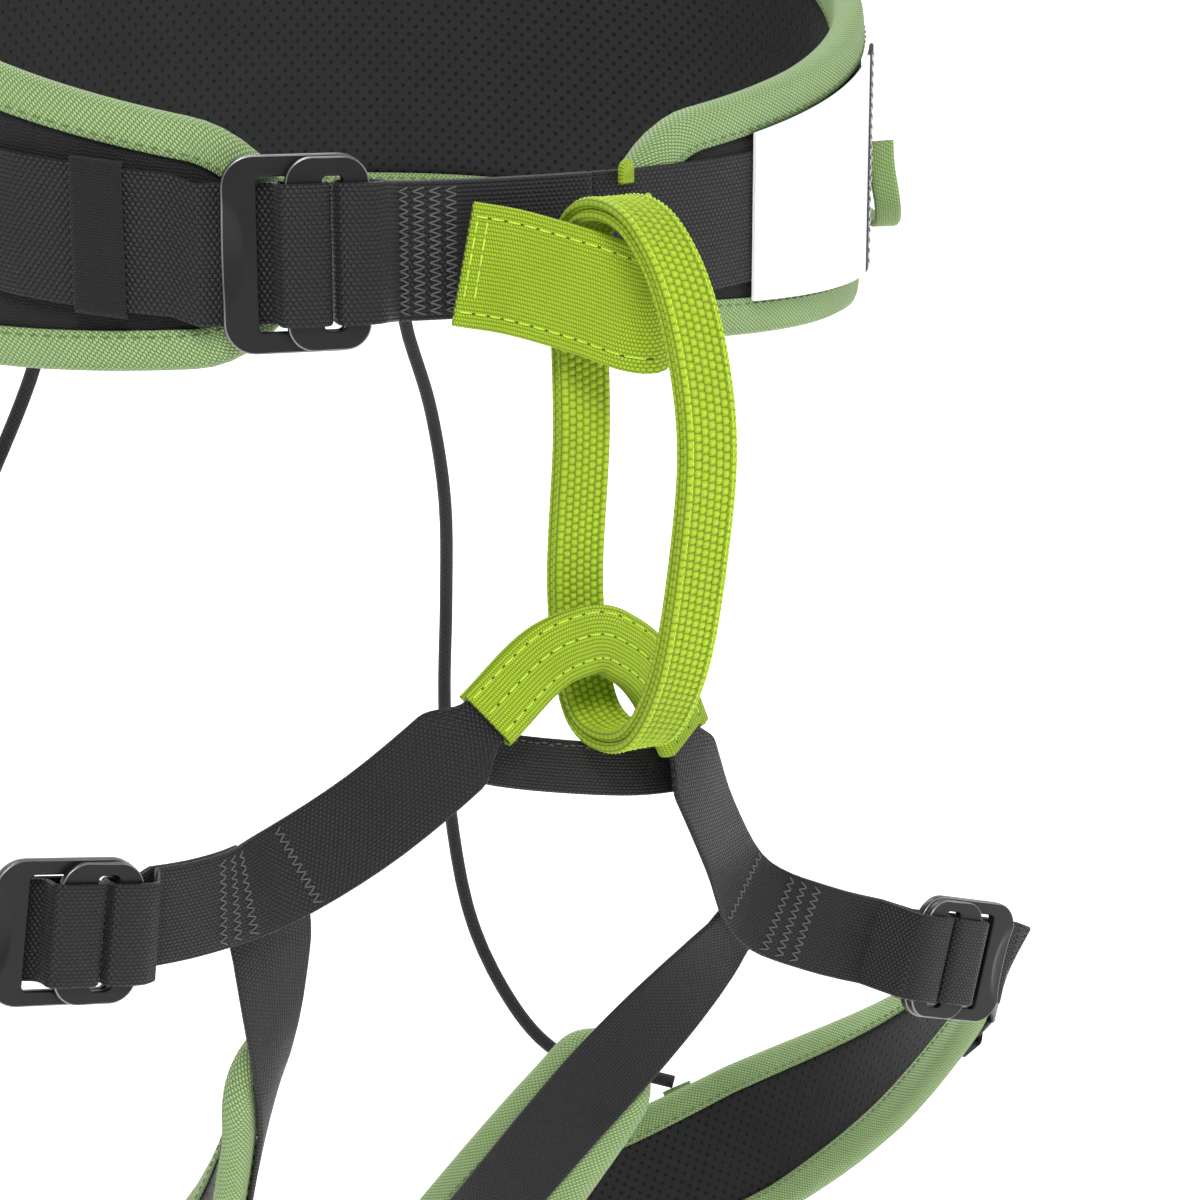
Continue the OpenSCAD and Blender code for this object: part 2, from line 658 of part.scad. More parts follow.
// The tape stands on edge: its width points outwards from the belt.
gear_off = (web_t + gear_w) / 2 + gap + 0.1;
module gear_loop(middle) {
  way = spline(gear_route, 4);
  path = [for (q = way) belt_at(middle + q[0] * gear_half, gear_off + q[1], q[2])];
  color(sage)
    strap(path, [for (i = [0:len(way) - 1])
        cross(heading(path, i), belt_normal(middle + way[i][0] * gear_half))],
      flat(gear_w, gear_t));
}
gear_front = 82;
gear_rear = 122;

// ---- risers ------------------------------------------------------------------

riser_d = 5;
riser_left_route = [
  [69.5, 101, 10.5], [69, 103, -6], [67, 108, -34], [70, 111, -62], [83, 116, -96],
  [90, 118, -133], [90, 118, -172], [87, 115, -210], [86, 110, -252], [91, 101, -299],
  [104, 82, -336], [122, 64, -352], [136, 50, -352], [144.5, 42.5, -354]
];
riser_right_route = [
  [-69.5, 101, 10.5], [-69, 103, -6], [-68, 108, -34], [-74, 112, -64], [-88, 114, -96],
  [-108, 112, -130], [-134, 106, -166], [-162, 96, -202], [-190, 82, -234],
  [-214, 64, -256], [-230, 50, -264], [-238, 42.5, -266]
];
// A round cord along a smooth curve, whose sections stay level with each other.
module cord(route, d) {
  path = spline(route, 5);
  color("#202023")
    strap(path, [for (p = path) [0.2, 1, 0]],
      [for (k = [0:7]) d / 2 * [cos(45 * k), sin(45 * k)]]);
}

riser_top_deg = 158;
riser_tape = 14;
riser_drop = 34;
module riser_anchor(side) {
  list = [for (z = [0, -riser_drop]) belt_at(side * riser_top_deg, web_t + gap, z)];
  color(webbing_colour)
    strap(list, [for (p = list) belt_normal(side * riser_top_deg)], flat(riser_tape, web_t));
}

tab_step = 18;
tab_reach = 4;
module riser_tab() {
  s = pad_from + tab_step * pad_step;
  n = band_face(s);
  up = unit(cross(n, on_band(s + 1, 0) - on_band(s - 1, 0)));
  list = [for (a = [4, leg_pad_back + tab_reach]) on_band(s, band_off + web_t + 2 * gap) + a * up];
  color(sage) strap(list, [for (p = list) n], flat(riser_tape - 2, web_t));
}

waist_pad_liner();
waist_pad_foam();
waist_pad_shell();
waist_pad_binding();
waist_belt();
waist_belt_tail();
waist_front_strap();
waist_keeper();
at_waist_buckle() buckle_frame(waist_web, waist_rail);  // waist_buckle_frame
at_waist_buckle() buckle_slider(waist_web, waist_rail);  // waist_buckle_slider
at_waist_buckle() buckle_wrap(waist_web);  // waist_buckle_wrap
label_panel();
label_edge();
waist_tie_in();
tie_in_nub();
belay_loop_outer();
belay_loop_inner();
leg_tie_in_webbing();
leg_tie_in_sleeve();
cross_strap();
gear_loop(gear_front);  // gear_loop_left_front
gear_loop(gear_rear);  // gear_loop_left_rear
gear_loop(-gear_front);  // gear_loop_right_front
gear_loop(-gear_rear);  // gear_loop_right_rear
riser_anchor(1);  // riser_anchor_left
riser_anchor(-1);  // riser_anchor_right
cord(riser_left_route, riser_d);  // riser_left
cord(riser_right_route, riser_d);  // riser_right
hanging(1) leg_front_strap();  // leg_front_strap_left
hanging(-1) leg_front_strap();  // leg_front_strap_right
hanging(1) leg_band();  // leg_band_left
hanging(-1) leg_band();  // leg_band_right
hanging(1) leg_pad_liner();  // leg_pad_liner_left
hanging(-1) leg_pad_liner();  // leg_pad_liner_right
hanging(1) leg_pad_foam();  // leg_pad_foam_left
hanging(-1) leg_pad_foam();  // leg_pad_foam_right
hanging(1) leg_pad_shell();  // leg_pad_shell_left
hanging(-1) leg_pad_shell();  // leg_pad_shell_right
hanging(1) leg_pad_binding();  // leg_pad_binding_left
hanging(-1) leg_pad_binding();  // leg_pad_binding_right
hanging(1) at_leg_buckle() buckle_frame(leg_web, leg_rail);  // leg_buckle_frame_left
hanging(-1) at_leg_buckle() buckle_frame(leg_web, leg_rail);  // leg_buckle_frame_right
hanging(1) at_leg_buckle() buckle_slider(leg_web, leg_rail);  // leg_buckle_slider_left
hanging(-1) at_leg_buckle() buckle_slider(leg_web, leg_rail);  // leg_buckle_slider_right
hanging(1) at_leg_buckle() buckle_wrap(leg_web);  // leg_buckle_wrap_left
hanging(-1) at_leg_buckle() buckle_wrap(leg_web);  // leg_buckle_wrap_right
hanging(1) leg_keeper();  // leg_keeper_left
hanging(-1) leg_keeper();  // leg_keeper_right
hanging(1) riser_tab();  // riser_tab_left
hanging(-1) riser_tab();  // riser_tab_right
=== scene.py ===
# %% [markdown]
# # A tree climbing saddle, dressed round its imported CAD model
# The CAD model gives every strap its place. This file gives each of them the look of
# the real thing: woven webbing, stitched loops, crowned foam pads and folded tape.
# Everything is in metres here, and the lists of points are in millimetres.

# %% Load the frame
import math
import bpy
import numpy as np
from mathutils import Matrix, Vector


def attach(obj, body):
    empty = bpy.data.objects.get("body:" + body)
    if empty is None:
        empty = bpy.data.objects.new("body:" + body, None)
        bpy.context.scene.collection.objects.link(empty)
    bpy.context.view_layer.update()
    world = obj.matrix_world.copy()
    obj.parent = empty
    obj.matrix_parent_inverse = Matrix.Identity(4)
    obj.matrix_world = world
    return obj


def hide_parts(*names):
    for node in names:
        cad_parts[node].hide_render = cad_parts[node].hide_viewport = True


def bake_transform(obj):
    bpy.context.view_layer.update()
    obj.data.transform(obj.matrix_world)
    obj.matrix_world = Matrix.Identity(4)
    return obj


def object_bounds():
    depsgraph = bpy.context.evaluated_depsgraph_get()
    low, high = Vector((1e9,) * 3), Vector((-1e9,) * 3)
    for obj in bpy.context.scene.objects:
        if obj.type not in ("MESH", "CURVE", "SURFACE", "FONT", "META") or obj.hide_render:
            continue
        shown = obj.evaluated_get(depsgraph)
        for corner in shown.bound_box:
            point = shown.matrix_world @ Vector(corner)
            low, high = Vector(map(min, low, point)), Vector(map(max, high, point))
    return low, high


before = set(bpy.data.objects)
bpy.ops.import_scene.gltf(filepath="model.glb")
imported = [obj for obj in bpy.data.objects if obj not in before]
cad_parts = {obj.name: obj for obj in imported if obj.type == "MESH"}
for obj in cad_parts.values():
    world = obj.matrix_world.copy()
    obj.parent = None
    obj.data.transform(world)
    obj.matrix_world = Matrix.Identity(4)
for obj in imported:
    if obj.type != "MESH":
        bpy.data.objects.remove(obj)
cad_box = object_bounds()
MM = 0.001
print("CAD box", [tuple(round(x, 4) for x in p) for p in cad_box])

# %% [markdown]
# ## Camera
# The saddle is seen from the front, a little from its right and from slightly above.
# An azimuth, an elevation and a distance say that more plainly than a place and a turn do,
# and a long lens keeps the two leg loops nearly the same size.

# %% Camera
azimuth, elevation, distance = math.radians(-33), math.radians(14), 0.9
target = Vector((0.0, -0.128, -0.108))
back = Vector((math.sin(azimuth) * math.cos(elevation),
               -math.cos(azimuth) * math.cos(elevation), math.sin(elevation)))
camera = bpy.data.objects.new("camera", bpy.data.cameras.new("camera"))
bpy.context.scene.collection.objects.link(camera)
camera.location = target + back * distance
camera.rotation_euler = (-back).to_track_quat("-Z", "Y").to_euler()
camera.data.lens, camera.data.sensor_width = 91.8, 36
camera.data.clip_start, camera.data.clip_end = 0.02, 20
bpy.context.scene.camera = camera
print("camera at", [round(x, 3) for x in camera.location])

# %% [markdown]
# ## Curves as arrays
# A strap is a cross-section carried along a path, so most of this file needs only three
# things of a path: its points, the direction it heads in, and its length so far. numpy
# works each of them out for all the points at once.

# %% Path helpers
def unit(v):
    """A vector, or each row of an array, divided by its own length."""
    return v / np.linalg.norm(v, axis=-1, keepdims=True)


def mix(a, b, u):
    """Straight blend: a + (b - a) u."""
    return a + (b - a) * u


def spline(points, steps, loop=False):
    """Catmull-Rom curve: between two knots b and c it is the cubic that leaves b along
    (c - a) / 2 and reaches c along (d - b) / 2."""
    p = np.asarray(points, float)
    if loop:
        a, b, c, d = (np.roll(p, k, 0) for k in (1, 0, -1, -2))
    else:
        q = np.vstack([2 * p[0] - p[1], p, 2 * p[-1] - p[-2]])
        a, b, c, d = q[:-3], q[1:-2], q[2:-1], q[3:]
    u = (np.arange(steps) / steps)[None, :, None]
    a, b, c, d = (x[:, None] for x in (a, b, c, d))
    out = 0.5 * (2 * b + (c - a) * u + (2 * a - 5 * b + 4 * c - d) * u * u
                 + (3 * b - a - 3 * c + d) * u ** 3)
    out = out.reshape(-1, p.shape[1])
    return out if loop else np.vstack([out, p[-1]])


def lengths(path):
    """The running length of a path: the sum of its steps so far."""
    return np.concatenate([[0], np.cumsum(np.linalg.norm(np.diff(path, axis=0), axis=1))])


def along(values, at, s):
    """What a list of rows holds at the places s, by straight interpolation."""
    return np.stack([np.interp(s, at, column) for column in np.asarray(values).T], -1)


def headings(path, loop=False):
    """The direction from the point before to the point after."""
    if loop:
        return unit(np.roll(path, -1, 0) - np.roll(path, 1, 0))
    ends = np.vstack([path[:1], path, path[-1:]])
    return unit(ends[2:] - ends[:-2])


def even(path, spacing, loop=False):
    """The same path with its points spacing apart."""
    if loop:
        path = np.vstack([path, path[:1]])
    s = lengths(path)
    count = int(round(s[-1] / spacing))
    places = np.linspace(0, s[-1], count + 1)
    return along(path, s, places[:-1] if loop else places)


# %% [markdown]
# ## A strap
# Webbing has a middle line, a direction across it and a face that looks outwards.
# Keeping the three together lets stitches be placed on a strap by its length and its
# width, the way a sewing machine places them.

# %% The strap
class Strap:
    """A band of webbing. A place on it is s along, v across and out from its middle:
    path(s) + v across(s) + out face(s)."""

    def __init__(self, path, faces=None, loop=False, upright=False):
        self.path, self.loop = np.asarray(path, float), loop
        ahead = headings(self.path, loop)
        if faces is None:
            faces = np.cross([0.0, 0, 1], ahead)
        side = np.cross(ahead, faces)
        if upright:
            self.across = np.zeros_like(self.path)
            self.across[:, 2] = np.sign(side[:, 2])
            self.face = unit(np.asarray(faces, float) * [1, 1, 0])
        else:
            self.across = unit(side)
            self.face = np.cross(self.across, ahead)
        self.s = lengths(self.path)
        self.total = self.s[-1] + (np.linalg.norm(self.path[0] - self.path[-1]) if loop else 0)

    def at(self, s, v, out):
        """The place of a point given by its length along, width across and height."""
        s, v, out = np.broadcast_arrays(*(np.asarray(x, float) for x in (s, v, out)))
        rows = np.hstack([self.path, self.across, self.face])
        q = along(rows, self.s, s.ravel())
        p = (q[:, :3] + v.ravel()[:, None] * unit(q[:, 3:6])
             + out.ravel()[:, None] * unit(q[:, 6:]))
        return p.reshape(s.shape + (3,))

    def facing(self, s):
        """The outward direction at the places s."""
        return unit(along(self.face, self.s, np.ravel(s)))

    def moved(self, turn, shift):
        """The same strap after a turn matrix and a shift."""
        other = object.__new__(Strap)
        other.__dict__.update(self.__dict__)
        other.path = self.path @ turn.T + shift
        other.across, other.face = self.across @ turn.T, self.face @ turn.T
        return other


# %% [markdown]
# ## From a grid to a mesh
# Rings of points, one ring for each step along a strap, are a grid: its quads are four
# neighbouring numbers, so all of the faces come from one sum on whole arrays. The sign of
# the volume they enclose says whether they look outwards. The cloth_mm UV map holds real
# millimetres along and across, so that every weave comes out at its true size.

# %% Grid to mesh
def volume(points, quads):
    """Sum over the faces of a . (b x c) / 6, which is positive when faces look outwards."""
    a, b, c, d = (points[quads[:, k]] for k in range(4))
    return (np.einsum("ij,ij->i", a, np.cross(b, c))
            + np.einsum("ij,ij->i", a, np.cross(c, d))).sum() / 6


def build(name, points, quads, uv, caps=(), caps_uv=(), slots=None):
    """A mesh object from millimetre points, four-cornered faces and their corner UVs."""
    if volume(points, quads) < 0:
        quads, uv = quads[:, ::-1], uv[:, ::-1]
        caps, caps_uv = [c[::-1] for c in caps], [c[::-1] for c in caps_uv]
    mesh = bpy.data.meshes.new(name)
    mesh.from_pydata((points * MM).tolist(), [], quads.tolist() + [list(c) for c in caps])
    layer = mesh.uv_layers.new(name="cloth_mm")
    corners = np.concatenate([uv.reshape(-1, 2)] + [np.asarray(c).reshape(-1, 2) for c in caps_uv])
    layer.data.foreach_set("uv", corners.astype(np.float32).ravel())
    smooth = np.ones(len(mesh.polygons), bool)
    smooth[len(quads):] = False
    mesh.polygons.foreach_set("use_smooth", smooth)
    if slots is not None:
        index = np.concatenate([slots, np.zeros(len(caps), int)]).astype(np.int32)
        mesh.polygons.foreach_set("material_index", index)
    mesh.update()
    mesh.validate()
    obj = bpy.data.objects.new(name, mesh)
    bpy.context.scene.collection.objects.link(obj)
    return obj


def grid(name, rings, u, v, loop=False, slots=None):
    """A closed skin over rings (n, m, 3). u is the length of each ring, v the width of each
    point, with one more of both where the skin runs round."""
    n, m = rings.shape[:2]
    i, j = np.meshgrid(np.arange(n if loop else n - 1), np.arange(m), indexing="ij")
    i, j = i.ravel(), j.ravel()
    i2, j2 = (i + 1) % n, (j + 1) % m
    quads = np.stack([i * m + j, i * m + j2, i2 * m + j2, i2 * m + j], 1)
    v = np.broadcast_to(v, (n + 1, m + 1))
    uv = np.stack([np.stack([u[i], v[i, j]], 1), np.stack([u[i], v[i, j + 1]], 1),
                   np.stack([u[i + 1], v[i, j + 1]], 1), np.stack([u[i + 1], v[i, j]], 1)], 1)
    caps, caps_uv = [], []
    if not loop:
        first, last = np.arange(m)[::-1], (n - 1) * m + np.arange(m)
        caps = [first, last]
        caps_uv = [np.stack([np.full(m, u[0]), v[0, first]], 1),
                   np.stack([np.full(m, u[n - 1]), v[0, :m]], 1)]
    return build(name, rings.reshape(-1, 3), quads, uv, caps, caps_uv,
                 None if slots is None else slots(i, j))


# %% [markdown]
# ## Webbing
# Real webbing is flat on both faces and round at its two edges. The round edge is what
# catches the light along a strap, so the section gets real half circles there, and a
# relief can be added to its faces where the weave is coarse enough to be seen.

# %% Webbing section
def band(width, thick, across=10, turn=4):
    """The outline of webbing, anticlockwise: a flat face, a half circle of radius
    thick / 2, the other face, and the other half circle."""
    r = thick / 2
    v = np.linspace(-(width / 2 - r), width / 2 - r, across)
    a = np.linspace(np.pi / 2, -np.pi / 2, turn + 2)[1:-1]
    face = np.stack([v, np.full(across, r)], 1)
    edge = np.stack([width / 2 - r + r * np.cos(a), r * np.sin(a)], 1)
    return np.vstack([face, edge, -face, -edge])


def wrapped(v):
    """A table with its first row and its first column once more at its end."""
    v = np.vstack([v, v[:1]])
    return np.hstack([v, v[:, :1]])


def around(outline, closing=1.0):
    """The running length round an outline, and one more place where it closes."""
    run = lengths(outline)
    return np.append(run, run[-1] + closing)


def carried(name, strap, across, out, v):
    """An outline carried along a strap: path + across x side + out x face."""
    rings = (strap.path[:, None] + strap.across[:, None] * across[..., None]
             + strap.face[:, None] * out[..., None])
    return grid(name, rings, np.append(strap.s, strap.total), v, strap.loop)


def webbing(name, strap, width, thick=1.8, out=0.0, across=10, relief=None, taper=None):
    """Carries the webbing's outline along a strap. relief(s, v) raises both faces, and
    taper holds one width factor for each step."""
    section = band(width, thick, across)
    n, m = len(strap.path), len(section)
    factor = np.ones(n) if taper is None else np.asarray(taper)
    v = section[None, :, 0] * factor[:, None]
    y = np.broadcast_to(section[None, :, 1], (n, m)).copy()
    if relief is not None:
        y += np.sign(y) * relief(strap.s[:, None], v)
    return carried(name, strap, v, y + out, wrapped(v))


# %% [markdown]
# ## Thread
# A stitch is a short bowed piece of thread that dives into the cloth at both ends. A few
# dozen faces are enough for one, and thousands of them are made at once by adding every
# stitch's own frame to one small shape.

# %% Stitches
def stitches(name, starts, ends, faces, radius=0.28, bow=0.25):
    """Threads from starts to ends: the point at share q lies at mix(start, end, q), raised
    by bow (1 - (2 q - 1)^2), with a six-sided ring of the given radius round it."""
    starts, ends, faces = (np.asarray(x, float) for x in (starts, ends, faces))
    ahead = unit(ends - starts)
    side = unit(np.cross(ahead, faces))
    up = np.cross(side, ahead)
    q = np.array([0.0, 0.12, 0.5, 0.88, 1.0])
    fat = radius * np.array([0.35, 0.9, 1.0, 0.9, 0.35])
    turn = np.arange(6) * np.pi / 3
    middle = mix(starts[:, None], ends[:, None], q[None, :, None])
    middle = middle + up[:, None] * (bow * (1 - (2 * q - 1) ** 2) - radius * 0.3)[None, :, None]
    ring = (side[:, None, None] * np.cos(turn)[None, None, :, None]
            + up[:, None, None] * np.sin(turn)[None, None, :, None])
    points = middle[:, :, None] + ring * fat[None, :, None, None]
    k, n, m = points.shape[:3]
    i, j = (x.ravel() for x in np.meshgrid(np.arange(n - 1), np.arange(m), indexing="ij"))
    quad = np.stack([i * m + j, i * m + (j + 1) % m, (i + 1) * m + (j + 1) % m,
                     (i + 1) * m + j], 1)
    lid = [[0, 5, 4, 3], [0, 3, 2, 1]]
    base = (n - 1) * m
    lid += [[base, base + 1, base + 2, base + 3], [base, base + 3, base + 4, base + 5]]
    quad = np.vstack([quad, lid])
    quads = (quad[None] + (np.arange(k) * n * m)[:, None, None]).reshape(-1, 4)
    uv = np.zeros((len(quads), 4, 2))
    return build(name, points.reshape(-1, 3), quads, uv)


def seam(strap, s, v, out, length):
    """Stitches of the given length centred on the places s, in a row v across: their
    starts, ends and faces."""
    s = np.asarray(s, float)
    v = np.broadcast_to(v, s.shape)
    return (strap.at(s - length / 2, v, out), strap.at(s + length / 2, v, out), strap.facing(s))


def zigzag(strap, s, half, count, swing, out):
    """A zigzag row across a strap: corners go from -half to half while s swings to and
    fro, and a thread joins each two."""
    v = np.linspace(-half, half, count)
    place = s + swing * (np.arange(count) % 2 - 0.5) * 2
    corner = strap.at(place, v, out)
    return corner[:-1], corner[1:], strap.facing(np.full(count - 1, s))


def joined(*rows):
    """Several rows of stitches as one."""
    return [np.vstack(x) for x in zip(*rows)]


# %% [markdown]
# ## Node groups
# Three effects come back in almost every finish: a woven grid of threads, a soft change
# of tone, and staggered holes. Each is a node group with its own numbers, built once. A
# group gives out a height or a mask, and the shader stays in the material.

# %% Wiring helpers
class Wiring:
    """Short names for adding nodes to a tree."""

    def __init__(self, tree):
        self.tree = tree

    def put(self, socket, value):
        """Links a socket to another, or sets its own value."""
        if isinstance(value, bpy.types.NodeSocket):
            self.tree.links.new(value, socket)
        elif value is not None:
            socket.default_value = value

    def node(self, kind, **settings):
        """A new node with some of its settings."""
        made = self.tree.nodes.new(kind)
        for key, value in settings.items():
            setattr(made, key, value)
        return made

    def math(self, operation, *values):
        """A Math node over numbers or sockets."""
        made = self.node("ShaderNodeMath", operation=operation)
        for socket, value in zip(made.inputs, values):
            self.put(socket, value)
        return made.outputs[0]

    def colours(self, factor, first, second):
        """first where the factor is 0, second where it is 1."""
        made = self.node("ShaderNodeMix", data_type="RGBA")
        self.put(made.inputs[0], factor)
        self.put(made.inputs[6], first)
        self.put(made.inputs[7], second)
        return made.outputs[2]

    def noise(self, vector, scale, detail=3.0):
        """Noise between 0 and 1."""
        made = self.node("ShaderNodeTexNoise")
        self.put(made.inputs["Vector"], vector)
        self.put(made.inputs["Scale"], scale)
        self.put(made.inputs["Detail"], detail)
        return made.outputs[0]


def new_group(name, inputs, outputs):
    """An empty node group with float inputs and outputs, and a vector called Place."""
    tree = bpy.data.node_groups.new(name, "ShaderNodeTree")
    tree.interface.new_socket("Place", in_out="INPUT", socket_type="NodeSocketVector")
    for label, value in inputs.items():
        made = tree.interface.new_socket(label, in_out="INPUT", socket_type="NodeSocketFloat")
        made.default_value = value
    for label in outputs:
        tree.interface.new_socket(label, in_out="OUTPUT", socket_type="NodeSocketFloat")
    w = Wiring(tree)
    return tree, w, w.node("NodeGroupInput").outputs, w.node("NodeGroupOutput").inputs


# %% Woven threads
def woven_group():
    """Rows of threads, each row shifted by a share of a thread. A thread's height is
    (1 - (2 x - 1)^2)(1 - (2 y - 1)^2), to the power 0.55, for its shares x and y."""
    tree, w, given, result = new_group(
        "woven threads", {"Along": 1.5, "Across": 1.2, "Stagger": 0.5, "Slant": 0.0},
        ["Height", "Gap"])
    split = w.node("ShaderNodeSeparateXYZ")
    w.put(split.inputs[0], given["Place"])
    lean = w.math("MULTIPLY_ADD", split.outputs[0], given["Slant"], split.outputs[1])
    across = w.math("DIVIDE", lean, given["Across"])
    row = w.math("FLOOR", across)
    shifted = w.math("MULTIPLY", row, given["Stagger"])
    ahead = w.math("ADD", w.math("DIVIDE", split.outputs[0], given["Along"]), shifted)
    domes = []
    for value in (ahead, across):
        share = w.math("MULTIPLY_ADD", w.math("FRACT", value), 2.0, -1.0)
        domes.append(w.math("SUBTRACT", 1.0, w.math("MULTIPLY", share, share)))
    height = w.math("POWER", w.math("MULTIPLY", *domes), 0.55)
    w.put(result["Height"], height)
    w.put(result["Gap"], w.math("SUBTRACT", 1.0, w.math("SMOOTH_MIN", height, 1.0, 0.05)))
    return tree


# %% Soft tone and punched holes
def tone_group():
    """A slow change of tone and a fine one, added: 1 + Amount (coarse + fine / 2 - 0.75)."""
    tree, w, given, result = new_group("cloth tone", {"Size": 40.0, "Amount": 0.3}, ["Tone"])
    coarse = w.noise(given["Place"], given["Size"])
    fine = w.noise(given["Place"], w.math("MULTIPLY", given["Size"], 22.0), 2.0)
    total = w.math("SUBTRACT", w.math("MULTIPLY_ADD", fine, 0.5, coarse), 0.75)
    w.put(result["Tone"], w.math("MULTIPLY_ADD", total, given["Amount"], 1.0))
    return tree


def holes_group():
    """Round holes on a staggered grid: a hole is where the distance to the nearest grid
    point is below Radius, with an edge Soft wide."""
    tree, w, given, result = new_group(
        "punched holes", {"Pitch": 6.0, "Radius": 0.75, "Soft": 0.5}, ["Hole"])
    split = w.node("ShaderNodeSeparateXYZ")
    w.put(split.inputs[0], given["Place"])
    best = None
    for shift in (0.0, 0.5):
        cells = []
        for axis in (0, 1):
            share = w.math("ADD", w.math("DIVIDE", split.outputs[axis], given["Pitch"]), shift)
            cells.append(w.math("SUBTRACT", w.math("FRACT", share), 0.5))
        reach = w.math("SQRT", w.math("ADD", w.math("MULTIPLY", cells[0], cells[0]),
                                      w.math("MULTIPLY", cells[1], cells[1])))
        best = reach if best is None else w.math("MINIMUM", best, reach)
    away = w.math("SUBTRACT", w.math("MULTIPLY", best, given["Pitch"]), given["Radius"])
    solid = w.math("DIVIDE", away, given["Soft"])
    made = w.node("ShaderNodeClamp")
    w.put(made.inputs[0], w.math("SUBTRACT", 1.0, solid))
    w.put(result["Hole"], made.outputs[0])
    return tree


weave, tones, holes = woven_group(), tone_group(), holes_group()
print("node groups:", [g.name for g in (weave, tones, holes)])

# %% [markdown]
# ## Finishes
# Every cloth here is one recipe with other numbers: a dark gap colour of painted shade under
# a light thread colour, mixed by the weave's height, and the same height as bump. Black nylon
# webbing shines only on top of its threads, so its roughness follows the weave too.

# %% Material recipe
def material(name, roughness, sheen=0.0, metallic=0.0, coat=0.0, specular=0.22):
    """An empty material: its wiring, its shader and its UV and Object coordinates."""
    made = bpy.data.materials.new(name)
    made.use_nodes = True
    w = Wiring(made.node_tree)
    shader = made.node_tree.nodes["Principled BSDF"]
    shader.inputs["Roughness"].default_value = roughness
    shader.inputs["Metallic"].default_value = metallic
    shader.inputs["Sheen Weight"].default_value = sheen
    shader.inputs["Sheen Roughness"].default_value = 0.4
    shader.inputs["Coat Weight"].default_value = coat
    shader.inputs["Specular IOR Level"].default_value = specular
    cloth = w.node("ShaderNodeUVMap", uv_map="cloth_mm").outputs[0]
    place = w.node("ShaderNodeTexCoord").outputs["Object"]
    return made, w, shader, cloth, place


def place_group(w, tree, place, **values):
    """One of the groups, with its own values."""
    made = w.node("ShaderNodeGroup")
    made.node_tree = tree
    w.put(made.inputs["Place"], place)
    for key, value in values.items():
        w.put(made.inputs[key], value)
    return made.outputs


def bump(w, shader, height, strength, depth_mm):
    """Raises the surface's normal by a height."""
    made = w.node("ShaderNodeBump")
    made.inputs["Strength"].default_value = strength
    made.inputs["Distance"].default_value = depth_mm * MM
    w.put(made.inputs["Height"], height)
    w.put(shader.inputs["Normal"], made.outputs[0])


def tinted(w, colour, tone):
    """A colour made lighter or darker by a tone round 1."""
    made = w.node("ShaderNodeVectorMath", operation="SCALE")
    w.put(made.inputs[0], colour)
    w.put(made.inputs["Scale"], tone)
    return made.outputs[0]


def cloth_material(name, thread, gap_shade, roughness, along_mm, across_mm, stagger=0.5, slant=0.0,
                   depth=0.35, sheen=0.3, amount=0.35, shine=0.0):
    """Woven cloth: thread colour on the domes, and painted shade as the gap colour between
    them. shine lowers the roughness on top of the threads."""
    made, w, shader, cloth, place = material(name, roughness, sheen)
    threads = place_group(w, weave, cloth, Along=along_mm, Across=across_mm, Stagger=stagger,
                          Slant=slant)
    tone = place_group(w, tones, place, Amount=amount)["Tone"]
    # painted shade: the darker gap colour on the low parts between the threads
    colour = w.colours(threads["Height"], (*gap_shade, 1), (*thread, 1))
    w.put(shader.inputs["Base Color"], tinted(w, colour, tone))
    if shine:
        rough = w.math("MULTIPLY_ADD", threads["Height"], -shine, roughness)
        w.put(shader.inputs["Roughness"], rough)
    bump(w, shader, threads["Height"], 0.9, depth)
    return made


# %% Cloths
# The second colour of each cloth is the painted shade in the gaps between its threads.
black_webbing = cloth_material(
    "black_webbing", (0.018, 0.018, 0.0195), (0.001, 0.001, 0.0013), 0.58, 1.7, 1.25,
    depth=0.5, sheen=0.06, shine=0.24)
thin_webbing = cloth_material(
    "thin_webbing", (0.018, 0.018, 0.0195), (0.0012, 0.0012, 0.0015), 0.58, 1.5, 1.0,
    depth=0.42, sheen=0.06, shine=0.22)
lime_ribbed = cloth_material(
    "lime_ribbed", (0.37, 0.53, 0.022), (0.09, 0.15, 0.004), 0.62, 0.75, 1.15,
    depth=0.3, sheen=0.05, amount=0.22)
sage_mesh = cloth_material(
    "sage_mesh", (0.33, 0.48, 0.20), (0.035, 0.06, 0.02), 0.66, 1.15, 1.15, slant=0.6,
    depth=0.35, sheen=0.12, amount=0.2)
sage_tape = cloth_material(
    "sage_tape", (0.28, 0.42, 0.15), (0.08, 0.13, 0.04), 0.66, 1.4, 0.8, stagger=0.33,
    depth=0.25, sheen=0.1, amount=0.2)
shell_cloth = cloth_material(
    "shell_cloth", (0.015, 0.015, 0.0165), (0.003, 0.003, 0.0035), 0.75, 1.0, 1.0,
    depth=0.25, sheen=0.08)
elastic = cloth_material(
    "elastic", (0.013, 0.013, 0.014), (0.002, 0.002, 0.0025), 0.7, 0.9, 0.8,
    depth=0.3, sheen=0.08)
cord_sheath = cloth_material(
    "cord_sheath", (0.026, 0.026, 0.028), (0.005, 0.005, 0.006), 0.6, 1.1, 1.3, slant=0.8,
    depth=0.3, sheen=0.1)
label_trim = cloth_material(
    "label_trim", (0.05, 0.051, 0.055), (0.012, 0.012, 0.013), 0.6, 1.2, 0.9,
    depth=0.2, sheen=0.08)


# %% [markdown]
# The belay loop's face is stitched into rows of lumps that are far coarser than its weave.
# Its cloth gets painted shade between the lumps, on the same grid that shapes them in the
# mesh, and carries the fine weave's painted shade on top.

# %% Belay loop cloth
LUMP, LUMP_ROWS, LUMP_STAGGER = 2.4, 5, 0.37


